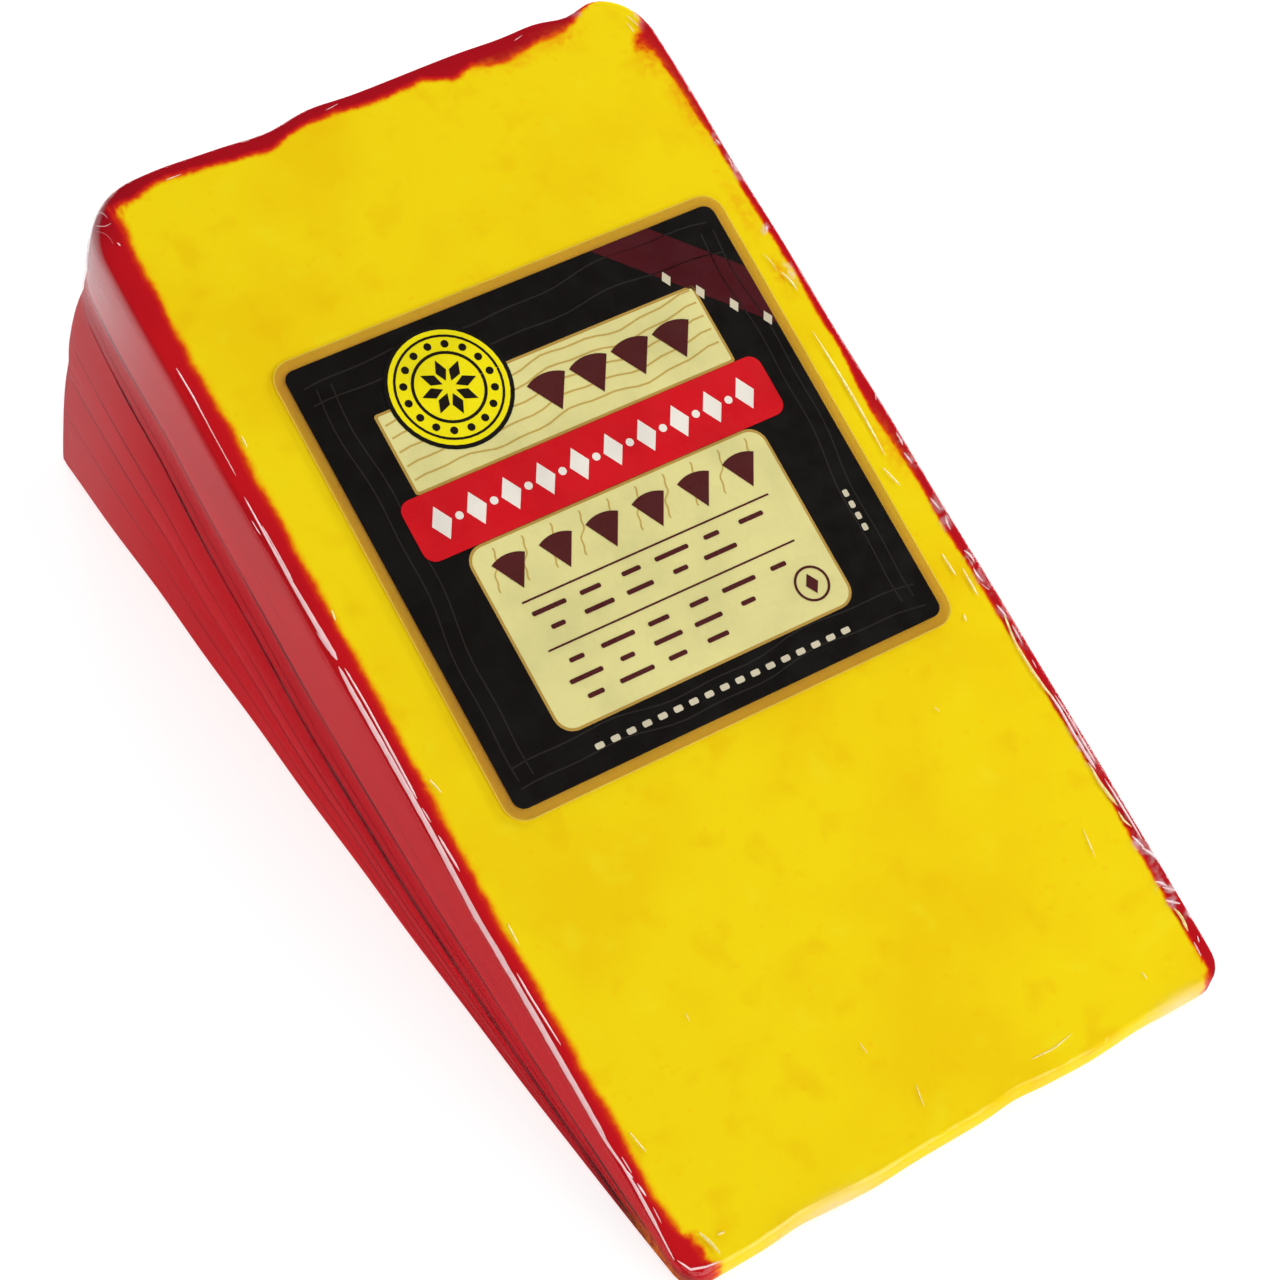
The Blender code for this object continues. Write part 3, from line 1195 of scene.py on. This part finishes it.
@dataclass(frozen=True)
class FilmCreases:
    """Raised folds and creases of film on the wrap, coloured as painted highlights and glints and sorted by
    colour.

    A fold's rows are its places, and a crease's row holds its numbers in the order of Crease.
    """

    form: WedgeForm
    middle: np.ndarray
    wrap: bpy.types.Object
    sunk: float = 0.03 * MM
    # Painted highlight lines along the left edge, with a few on the right edge and at the thin edge's left
    # corner.
    pink_highlight_folds: tuple[Rows, ...] = (
        (
            (-48.7, 130, 0.2), (-48.8, 124, 0.3), (-48.9, 116, 0.5), (-48.8, 108, 0.75),
            (-48.7, 102.2, 0.7),
        ),
        (
            (-49.0, 101.2, 0.4), (-49.1, 97, 0.65), (-49.1, 86, 0.7), (-49.2, 73, 0.7),
            (-49.6, 60, 0.75), (-49.4, 50, 0.75), (-49.3, 36, 0.75), (-49.3, 25, 0.65),
            (-49.4, 23.2, 0.4), (-49.0, 19.4, 0.3), (-48.9, 15.4, 0.45), (-49.0, 11, 0.5),
            (-49.1, 8.6, 0.25), (-49.3, 4.3, 0.18),
        ),
        ((-48.5, 125, 0.18), (-48.5, 119.5, 0.2), (-48.6, 115.6, 0.25)),
        ((-48.3, 100.6, 0.25), (-48.2, 94.8, 0.28), (-48.4, 85.2, 0.35), (-48.6, 78.8, 0.3)),
        ((-48.6, 77.3, 0.25), (-48.5, 74.9, 0.25)),
        ((-48.5, 72.7, 0.35), (-48.4, 66.7, 0.3)),
        ((-48.5, 50.1, 0.2), (-48.5, 46.3, 0.3), (-48.1, 38.1, 0.2)),
        ((-48.0, 152.1, 0.25), (-47.9, 147.0, 0.25), (-48.1, 140.3, 0.14), (-48.2, 133.4, 0.14)),
        ((48.3, 50.3, 0.3), (48.5, 47.0, 0.4), (48.3, 42.9, 0.4), (48.3, 39.2, 0.5), (48.4, 36.4, 0.4)),
        ((49.0, 49.3, 0.2), (49.1, 44.0, 0.3), (48.9, 37.4, 0.3)),
        ((48.8, 34.5, 0.2), (48.9, 29.4, 0.35), (48.9, 23.7, 0.25)),
        ((-48.9, 4.1, 0.2), (-47.9, 2.1, 0.35), (-45.6, 1.3, 0.3), (-43.4, 1.0, 0.2)),
    )
    # Painted cream highlights along the red band's edge on the right, and one near the thin edge.
    cream_highlight_folds: tuple[Rows, ...] = (
        (
            (48.7, 63.9, 0.3), (48.2, 61.2, 0.4), (47.8, 59.1, 0.45), (47.8, 57.2, 0.45),
            (47.8, 54.2, 0.5), (48.1, 50.8, 0.45), (48.6, 48.4, 0.3),
        ),
        ((47.9, 37.8, 0.3), (47.7, 34.7, 0.5), (48.0, 31.7, 0.6), (48.3, 29.9, 0.35)),
        ((47.9, 29.2, 0.3), (47.9, 27.5, 0.4), (48.5, 26.1, 0.2)),
        ((47.4, 12.4, 0.4), (47.8, 10.9, 0.45), (47.4, 8.4, 0.6)),
        ((14.0, 3.6, 0.2), (18.0, 3.3, 0.3), (22.0, 3.9, 0.15)),
    )
    # Painted cream highlights on short creases of the cut face and its edges.
    cream_highlight_creases: Rows = (
        (46.8, 126.0, 4.0, -12, 0.4, 0.03, 0.3), (45.7, 130.0, 3.4, -8, 0.2, 0.03, 0.2),
        (45.6, 105.7, 22.6, 1, 0.45, 0.03, 0.3), (44.4, 90.9, 3.9, -15, 0.4),
        (45.0, 74.6, 4.0, -2, 0.45), (46.6, 70.7, 4.9, 2, 0.45), (42.6, 66.2, 1.2, 10, 0.35),
        (40.8, 27.1, 4.5, 9, 0.25, 0.03), (37.2, 5.9, 1.3, -5, 0.3, 0.03),
        (-4.3, 7.1, 3.3, 11, 0.22, 0.03), (-8.2, 17.0, 1.9, -6, 0.2, 0.03),
        (-43.5, 3.9, 4.2, -16, 0.5, 0.03, 0.2), (-41.3, 4.3, 1.2, 99, 0.35),
        (-45.3, 21.0, 3.6, -11, 0.3), (-45.8, 108.4, 1.8, 10, 0.3), (-45.2, 79.3, 2.7, -13, 0.3),
        (-46.1, 55.2, 3.4, 2, 0.3), (-44.5, 137.7, 1.9, 4, 0.3), (30.4, 55.7, 1.1, -16, 0.2, 0.03),
        (-29.4, 33.1, 1.3, 4, 0.2, 0.03),
    )
    # Painted white glints on short creases along the right edge, the left edge and the left rim corner.
    white_glint_creases: Rows = (
        (47.2, 175.3, 2.4, -20, 0.14), (46.2, 174.4, 1.8, -5, 0.12), (49.4, 161.2, 0.8, 20, 0.2),
        (48.9, 151.5, 1.2, -10, 0.2), (49.0, 147.5, 1.6, 8, 0.25), (48.3, 135.2, 0.9, 30, 0.35),
        (49.1, 95.5, 1.8, 8, 0.25), (48.6, 92.4, 2.2, -8, 0.3), (48.5, 84.1, 2.5, -10, 0.3),
        (48.7, 80.5, 2.3, 12, 0.35, 0.03, -0.2), (48.8, 74.4, 2.3, -12, 0.35, 0.03, 0.2),
        (48.5, 71.2, 2.6, -6, 0.35, 0.03, -0.2), (48.7, 64.5, 2.5, -9, 0.3), (48.9, 60.3, 3.2, 3, 0.25),
        (48.1, 23.7, 2.6, -16, 0.4), (48.7, 21.3, 3.0, -24, 0.4, 0.03, 0.2),
        (47.7, 16.4, 2.2, -40, 0.4, 0.03, 0.2), (48.5, 15.2, 2.4, -50, 0.35),
        (47.8, 13.3, 2.4, -50, 0.4), (49.0, 10.4, 1.2, 2, 0.3), (47.2, 5.4, 2.3, 5, 0.25),
        (48.2, 6.6, 1.0, 20, 0.2), (-48.8, 17.8, 1.7, -15, 0.3), (-48.3, 15.0, 2.2, -5, 0.3),
        (-46.4, 178.4, 2.2, -32, 0.1, 0.02, 0.4), (-46.9, 177.0, 2.6, -70, 0.1, 0.02, -0.5),
        (-47.6, 174.8, 3.0, -24, 0.03, 0.02, 0.5), (-46.0, 179.4, 2.4, 58, 0.09, 0.02, -0.4),
        (-46.2, 173.1, 0.7, -16, 0.2),
    )
    right_glints: int = 26
    left_glints: int = 4
    rim_glints: int = 5

    def scattered(self) -> list[Crease]:
        """Strews small creases along the edges, coloured as painted glints.

        Returns:
            The creases.
        """
        draw = random.Random(11)
        creases = [Crease(
            across=50.0 - abs(draw.gauss(0.0, 0.7)),
            along=draw.uniform(2.0, 104.0),
            length=draw.uniform(0.5, 2.0),
            turn=draw.gauss(-4.0, 11.0),
            width=draw.uniform(0.10, 0.24),
            height=draw.uniform(0.02, 0.03),
            bend=draw.uniform(-0.1, 0.1),
        ) for _ in range(self.right_glints)]
        creases += [Crease(
            across=-49.6 + abs(draw.gauss(0.0, 1.0)),
            along=draw.uniform(6.0, 168.0),
            length=draw.uniform(1.0, 3.5),
            turn=draw.gauss(0.0, 3.0),
            width=draw.uniform(0.12, 0.2),
            height=draw.uniform(0.02, 0.03),
        ) for _ in range(self.left_glints)]
        creases += [Crease(
            across=draw.uniform(-46.0, 46.0),
            along=181.2 - abs(draw.gauss(0.0, 0.8)),
            length=draw.uniform(0.8, 3.0),
            turn=90.0 + draw.gauss(0.0, 10.0),
            width=draw.uniform(0.08, 0.14),
            height=draw.uniform(0.02, 0.03),
        ) for _ in range(self.rim_glints)]
        return creases

    def build(self) -> None:
        """Builds and dresses the folds and creases as painted highlights and glints, one piece for each
        colour.
        """
        surface = BVHTree.FromObject(self.wrap, bpy.context.evaluated_depsgraph_get())
        # Painted highlights in pink along the edges and in cream beside the red band, and painted glints in
        # white.
        pink = CreaseFinish("film_folds_pink", screen_colour(252, 204, 206), 1.0, 0.9)
        cream = CreaseFinish("film_folds_cream", screen_colour(252, 236, 150), 0.95, 0.45)
        white = CreaseFinish("film_creases_white", screen_colour(255, 222, 228), 0.95, 0.5)
        cream_lines = [*map(Fold, self.cream_highlight_folds), *(Crease(*row) for row in self.cream_highlight_creases)]
        white_lines = [*(Crease(*row) for row in self.white_glint_creases), *self.scattered()]
        self.build_piece([*map(Fold, self.pink_highlight_folds)], pink, surface)
        self.build_piece(cream_lines, cream, surface)
        self.build_piece(white_lines, white, surface)

    def build_piece(self, lines: list[Crease | Fold], finish: CreaseFinish, surface: BVHTree) -> None:
        """Builds lines of one colour as one piece: each a low ridge with uneven sides.

        Args:
            lines: The folds and creases.
            finish: Their finish.
            surface: The wrap's surface, which they lie on.
        """
        face = self.form.face_matrix(self.middle)
        points = []
        faces = []
        for line in lines:
            places = line.places()
            spots = [surface.find_nearest(face @ (Vector((*place[:2], 0.0)) * MM)) for place in places]
            first = len(points)
            last_step = len(places) - 1
            for step, (across, along, width, height) in enumerate(places):
                spot, normal = spots[step][:2]
                before = spots[max(step - 1, 0)][0]
                after = spots[min(step + 1, last_step)][0]
                aside = (after - before).cross(normal).normalized()
                base = spot - normal * self.sunk
                half = width * MM / 2
                left = half * (1 + 0.2 * noise.noise(Vector((0.9 * across, 0.9 * along, 2.0))))
                right = half * (1 + 0.2 * noise.noise(Vector((0.9 * across, 0.9 * along, 7.0))))
                points += [base - aside * left, base + aside * right, spot + normal * height * MM]
            for step in range(last_step):
                faces += ring_quads(first + 3 * step, 3)
            end = first + 3 * last_step
            faces += [(first + 2, first + 1, first), (end, end + 1, end + 2)]
        piece = mesh_piece(finish.name, np.array(points), faces, finish.make())
        clean_normals(piece)
        place_in_frame(piece, Node.WEDGE)


def rounded_rectangle(across: float, along: float, width: float, length: float, radius: float) -> Loop:
    """Outline of a rectangle with round corners.

    Args:
        across: Place of its middle, to the right.
        along: Place of its middle, upwards.
        width: Its width.
        length: Its length.
        radius: Radius of its corners.

    Returns:
        The outline, anticlockwise.
    """
    loop = []
    steps = 6
    for quarter in range(4):
        side_x = 1 if quarter in (0, 3) else -1
        side_y = 1 if quarter in (0, 1) else -1
        for step in range(steps + 1):
            angle = pi / 2 * (quarter + step / steps)
            x = across + side_x * (width / 2 - radius) + radius * cos(angle)
            y = along + side_y * (length / 2 - radius) + radius * sin(angle)
            loop.append((x, y))
    return loop


def arc_band(across: float, along: float, outer: float, inner: float, start: float, end: float) -> Loop:
    """Outline of a bent band, or of a fan or disc where its inner radius is 0.

    Args:
        across: Place of its middle, to the right.
        along: Place of its middle, upwards.
        outer: Outer radius.
        inner: Inner radius.
        start: Angle that it starts at, in degrees.
        end: Angle that it ends at, in degrees.

    Returns:
        The outline, anticlockwise.
    """
    steps = max(4, round((end - start) / 8))
    angles = [radians(start + (end - start) * step / steps) for step in range(steps + 1)]
    loop = [(across + outer * cos(angle), along + outer * sin(angle)) for angle in angles]
    if inner > 0:
        loop += [(across + inner * cos(angle), along + inner * sin(angle)) for angle in reversed(angles)]
    elif end - start < 359:
        loop.append((across, along))
    else:
        loop.pop()
    return loop


def disc(across: float, along: float, radius: float) -> Loop:
    """Outline of a disc."""
    return arc_band(across, along, radius, 0.0, 0.0, 360.0)


def ring(across: float, along: float, outer: float, inner: float) -> Loop:
    """Outline of a ring, open by a hair."""
    return arc_band(across, along, outer, inner, 0.0, 359.6)


def lozenge(across: float, along: float, width: float, length: float) -> Loop:
    """Outline of a lozenge."""
    half, tall = width / 2, length / 2
    return [(across + half, along), (across, along + tall), (across - half, along), (across, along - tall)]


def wavy_line(
    start: tuple[float, float], end: tuple[float, float], width: float, sway: float, count: float
) -> Loop:
    """Outline of a thin line that sways from side to side.

    Args:
        start: Where it starts.
        end: Where it ends.
        width: Its width.
        sway: How far it sways.
        count: How many times it sways to and fro.

    Returns:
        The outline.
    """
    first = Vector(start)
    way = Vector(end) - first
    aside = Vector((-way.y, way.x)).normalized()
    steps = 28
    upper = []
    lower = []
    for step in range(steps + 1):
        share = step / steps
        swing = sway * (sin(2 * pi * count * share) + 0.4 * sin(2 * pi * 2.7 * count * share + 1.0))
        middle = first + way * share + aside * swing
        upper.append(tuple(middle + aside * width / 2))
        lower.append(tuple(middle - aside * width / 2))
    return lower + upper[::-1]


@dataclass(frozen=True)
class Label:
    """The printed label on the upper cut face: fields, fans and lozenges. Sizes in millimetres."""

    form: WedgeForm
    middle: np.ndarray
    across: float = 2.7
    along: float = 106.5
    turn: float = radians(-1.5)
    carrier: tuple[float, float, float] = (79.8, 77.9, 3.5)
    ground: tuple[float, float, float] = (76.2, 74.3, 1.8)
    carrier_low: float = 0.10
    carrier_high: float = 0.26
    layer: float = 0.022

    def place(self) -> Matrix:
        """Matrix of the label's own plane, in millimetres."""
        turned = Matrix.Translation((self.across, self.along, 0.0)) @ Matrix.Rotation(self.turn, 4, "Z")
        return self.form.face_matrix(self.middle) @ Matrix.Scale(MM, 4) @ turned

    def layer_piece(self, loops: list[Loop], low: float, high: float, finish: PrintFinish) -> None:
        """Builds a thin layer of the label from outlines.

        Args:
            loops: The outlines.
            low: Height of its underside over the cut face.
            high: Height of its upper side.
            finish: Its finish.
        """
        matrix = self.place()
        points = []
        faces = []
        for loop in loops:
            first = len(points)
            count = len(loop)
            points += [matrix @ Vector((x, y, low)) for x, y in loop]
            points += [matrix @ Vector((x, y, high)) for x, y in loop]
            faces.append(tuple(range(first + count - 1, first - 1, -1)))
            faces.append(tuple(range(first + count, first + 2 * count)))
            faces += ring_quads(first, count)
        piece = mesh_piece(finish.name, np.array(points), faces, finish.make())
        clean_normals(piece)
        place_in_frame(piece, Node.LABEL)

    def printed(self, name: str, loops: list[Loop], level: int, colour: Colour) -> None:
        """Prints outlines on the ground, as the layer with this number, from 1."""
        low = self.carrier_high + self.layer * (level - 1)
        self.layer_piece(loops, low - self.layer / 4, low + self.layer, PrintFinish(name, colour))

    def build(self) -> None:
        """Builds every layer of the label."""
        self.build_ground()
        self.build_panels()
        self.build_band()
        self.build_seal()
        self.build_small_marks()

    def build_ground(self) -> None:
        """Clear margin with a painted highlight along its cut edge, black ground, and the ribbon over one
        corner.
        """
        width, length, radius = self.carrier
        margin = PrintFinish("label_margin", screen_colour(205, 130, 70), 0.2, 0.25)
        outline = rounded_rectangle(0, 0, width, length, radius)
        self.layer_piece([outline], self.carrier_low, self.carrier_high - 0.02, margin)
        inner = rounded_rectangle(0, 0, width - 0.3, length - 0.3, radius - 0.15)
        rim = [outline[step:step + 2] + inner[step:step + 2][::-1] for step in range(len(outline) - 1)]
        rim.append([outline[-1], outline[0], inner[0], inner[-1]])
        # Painted highlight: a pale line along the label's cut edge.
        edge = PrintFinish("label_cut_edge", screen_colour(250, 224, 90), 0.15, 0.6)
        self.layer_piece(rim, self.carrier_high - 0.02, self.carrier_high + 0.02, edge)
        self.printed("label_ground", [rounded_rectangle(0, 0, *self.ground)], 1, screen_colour(21, 18, 16))
        ribbon = [(16.0, 37.1), (26.5, 37.1), (38.05, 25.5), (38.05, 15.0)]
        self.printed("label_ribbon", [ribbon], 2, screen_colour(76, 22, 28))
        rows = (-34.5, -31.2, 30.5, 33.5)
        faint = [wavy_line((-36, y), (36, y + 1.5 * sin(y)), 0.22, 0.7, 1.6) for y in rows]
        faint += [wavy_line((x, -33), (x + 1.5, 33), 0.22, 0.6, 1.3) for x in (-35.5, -33, 33, 35.2)]
        self.printed("label_ground_lines", faint, 2, screen_colour(44, 40, 37))

    def build_panels(self) -> None:
        """Cream panels with gold edges and wavy gold lines."""
        gold = screen_colour(188, 150, 72)
        upper = (0.0, 19.0, 56.0, 13.0)
        lower = (0.0, -14.2, 52.0, 30.6)
        edges = [
            rounded_rectangle(upper[0], upper[1], upper[2] + 0.9, upper[3] + 0.9, 0.5),
            rounded_rectangle(lower[0], lower[1], lower[2] + 0.9, lower[3] + 0.9, 3.0),
        ]
        self.printed("label_panel_edges", edges, 2, gold)
        panels = [rounded_rectangle(*upper, 0.3), rounded_rectangle(*lower, 2.6)]
        self.printed("label_panels", panels, 3, screen_colour(231, 222, 150))
        rows = (14.2, 16.6, 19.0, 21.4, 23.6)
        waves = [wavy_line((-27.5, y), (27.5, y + 1.0), 0.3, 0.55, 2.3) for y in rows]
        waves += [wavy_line((x, -6.5), (x + 2.0, 0.3), 0.26, 0.4, 1.0) for x in range(-24, 24, 5)]
        self.printed("label_panel_lines", waves, 4, screen_colour(200, 170, 88))

    def build_band(self) -> None:
        """Red band with a row of pale lozenges."""
        band = rounded_rectangle(0.0, 6.8, 64.0, 10.4, 2.0)
        self.printed("label_band", [band], 5, screen_colour(216, 24, 34))
        marks = [lozenge(x, 6.8, 3.4, 5.6) for x in np.linspace(-27.0, 27.0, 10)]
        marks += [disc(x, 6.8, 0.65) for x in np.linspace(-24.0, 24.0, 9)]
        self.printed("label_band_marks", marks, 6, screen_colour(246, 238, 226))

    def build_seal(self) -> None:
        """Round yellow seal with rings, a row of dots and eight petals."""
        x, y, radius = -15.5, 25.6, 9.4
        self.printed("label_seal_rim", [disc(x, y, radius + 0.7)], 5, screen_colour(24, 21, 19))
        self.printed("label_seal", [disc(x, y, radius)], 6, screen_colour(250, 233, 20))
        marks = [ring(x, y, 8.6, 8.2), ring(x, y, 5.9, 5.4)]
        for angle in np.arange(16) * pi / 8:
            marks.append(disc(x + 7.05 * cos(angle), y + 7.05 * sin(angle), 0.62))
        petal = ((-0.32, 2.88), (0.0, 4.68), (0.32, 2.88), (0.0, 1.08))
        for middle in np.arange(8) * pi / 4:
            corners = [(middle + turn, reach) for turn, reach in petal]
            marks.append([(x + reach * cos(angle), y + reach * sin(angle)) for angle, reach in corners])
        self.printed("label_seal_marks", marks, 7, screen_colour(30, 24, 18))

    def build_small_marks(self) -> None:
        """Brown fans, rules and dashes on the panels, and pale dashes on the ground and ribbon."""
        brown = screen_colour(84, 34, 34)
        marks = [arc_band(x, 15.6, 6.4, 0.0, 58, 122) for x in (-1.0, 6.5, 14.0, 21.5)]
        marks += [arc_band(x, -7.2, 5.8, 0.0, 60, 120) for x in np.linspace(-20.5, 20.5, 6)]
        marks += [rounded_rectangle(0, y, 44, 0.3, 0.1) for y in (-9.2, -17.4)]
        rows = ((-11.4, 6), (-14.3, 5), (-20.0, 6), (-23.0, 5), (-26.0, 4))
        for y, count in rows:
            for number in range(count):
                width = 4.2 + 1.8 * sin(2.3 * number + y)
                marks.append(rounded_rectangle(-18.5 + 7.2 * number, y, width, 0.75, 0.3))
        marks += [ring(21.0, -24.6, 2.9, 2.5), lozenge(21.0, -24.6, 2.2, 3.4)]
        self.printed("label_brown_marks", marks, 5, brown)
        pale = [rounded_rectangle(x, -33.3, 1.5, 0.95, 0.3) for x in np.linspace(-22, 22, 17)]
        pale += [rounded_rectangle(33.6, y, 0.9, 1.2, 0.3) for y in (-14, -16, -18, -20)]
        pale += [lozenge(31.0 + step, 22.4 - step, 1.6, 2.6) for step in (-6, -2, 2, 6)]
        self.printed("label_pale_marks", pale, 4, screen_colour(214, 204, 176))


@dataclass(frozen=True)
class Softbox:
    """A soft rectangular light that faces the wedge."""

    name: str
    toward: tuple[float, float, float]
    distance: float
    width: float
    length: float
    power: float
    long_axis: tuple[float, float, float] = (0.0, 0.0, 1.0)

    def build(self, target: Vector) -> None:
        """Builds the light.

        Args:
            target: Point that it faces.
        """
        light = bpy.data.lights.new(self.name, "AREA")
        light.shape = "RECTANGLE"
        light.size = self.width
        light.size_y = self.length
        light.energy = self.power
        out = Vector(self.toward).normalized()
        side = Vector(self.long_axis).cross(out).normalized()
        turn = Matrix((side, out.cross(side), out)).transposed().to_4x4()
        lamp = bpy.data.objects.new(self.name, light)
        lamp.matrix_world = Matrix.Translation(target + out * self.distance) @ turn
        bpy.context.scene.collection.objects.link(lamp)


@dataclass(frozen=True)
class Studio:
    """White floor, soft lights and a sky that is bright low down and dark overhead."""

    floor_radius: float = 3.0
    floor_drop: float = 0.25 * MM
    target: Vector = Vector((0.0, 0.0, 0.03))
    sky_levels: Rows = ((0.0, 0.7), (0.25, 0.6), (0.55, 0.2), (0.75, 0.05), (1.0, 0.04))
    softboxes: tuple[Softbox, ...] = (
        Softbox("front_softbox", (0.10, -0.80, 0.60), 1.1, 0.8, 0.8, 6.2),
        Softbox("left_softbox", (-0.90, -0.25, 0.30), 1.2, 0.9, 0.9, 2.6),
        Softbox("right_softbox", (0.88, 0.05, 0.42), 1.1, 0.25, 0.9, 8.0, (0.0, 0.94, 0.35)),
        Softbox("back_softbox", (0.0, 0.9, 0.5), 1.3, 1.0, 0.6, 9.0),
    )

    def build(self) -> None:
        """Builds the studio."""
        self.build_floor()
        self.build_sky()
        for softbox in self.softboxes:
            softbox.build(self.target)

    def build_floor(self) -> None:
        """Builds the round floor just under the wedge."""
        count = 64
        angles = np.linspace(0.0, 2 * pi, count, endpoint=False)
        radius = self.floor_radius
        height = np.full(count, -self.floor_drop)
        points = np.stack((radius * np.cos(angles), radius * np.sin(angles), height), axis=-1)
        floor = mesh_piece("studio_floor", points, [tuple(range(count))], FloorFinish().make())

    def build_sky(self) -> None:
        """Builds the sky."""
        world = bpy.data.worlds.new("studio_sky")
        world.use_nodes = True
        bpy.context.scene.world = world
        tree = world.node_tree
        direction = tree.nodes.new("ShaderNodeTexCoord").outputs["Generated"]
        parts = tree.nodes.new("ShaderNodeSeparateXYZ")
        tree.links.new(direction, parts.inputs[0])
        ramp = tree.nodes.new("ShaderNodeValToRGB")
        fill_ramp(ramp, tuple((place, (level, level, level, 1.0)) for place, level in self.sky_levels))
        tree.links.new(parts.outputs["Z"], ramp.inputs["Fac"])
        tree.links.new(ramp.outputs["Color"], tree.nodes["Background"].inputs["Color"])
        bpy.context.scene.view_settings.view_transform = "Standard"


@dataclass(frozen=True)
class PhotoCamera:
    """The camera at the photograph's place, measured from the middle of the thin edge."""

    place: Vector = Vector((-213.11, -165.25, 442.99)) * MM
    right: Vector = Vector((0.82353, -0.56157, 0.08025))
    up: Vector = Vector((0.40402, 0.67994, 0.61193))
    lens: float = 98.88
    sensor: float = 36.0

    def build(self, middle: np.ndarray) -> None:
        """Builds the camera and makes it the scene's.

        Args:
            middle: Where the part's origin lies, measured from the middle of the thin edge.
        """
        lens = bpy.data.cameras.new("photo_camera")
        lens.lens = self.lens
        lens.sensor_width = self.sensor
        lens.clip_start = 0.01
        right = self.right.normalized()
        back = right.cross(self.up).normalized()
        up = back.cross(right)
        turn = Matrix((right, up, back)).transposed().to_4x4()
        camera = bpy.data.objects.new("photo_camera", lens)
        camera.matrix_world = Matrix.Translation(self.place - Vector(middle)) @ turn
        bpy.context.scene.collection.objects.link(camera)
        bpy.context.scene.camera = camera


def main() -> None:
    """Builds the wedge's looks, the studio and the camera."""
    logging.basicConfig(level=logging.INFO, format="%(message)s")
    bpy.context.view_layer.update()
    form = WedgeForm()
    middle = form.middle
    WaxedCheese(form, middle).build()
    wrap = FilmWrap(form, middle).build()
    FilmCreases(form, middle, wrap).build()
    Label(form, middle).build()
    Studio().build()
    PhotoCamera().build(middle)


if __name__ == "__main__":
    main()
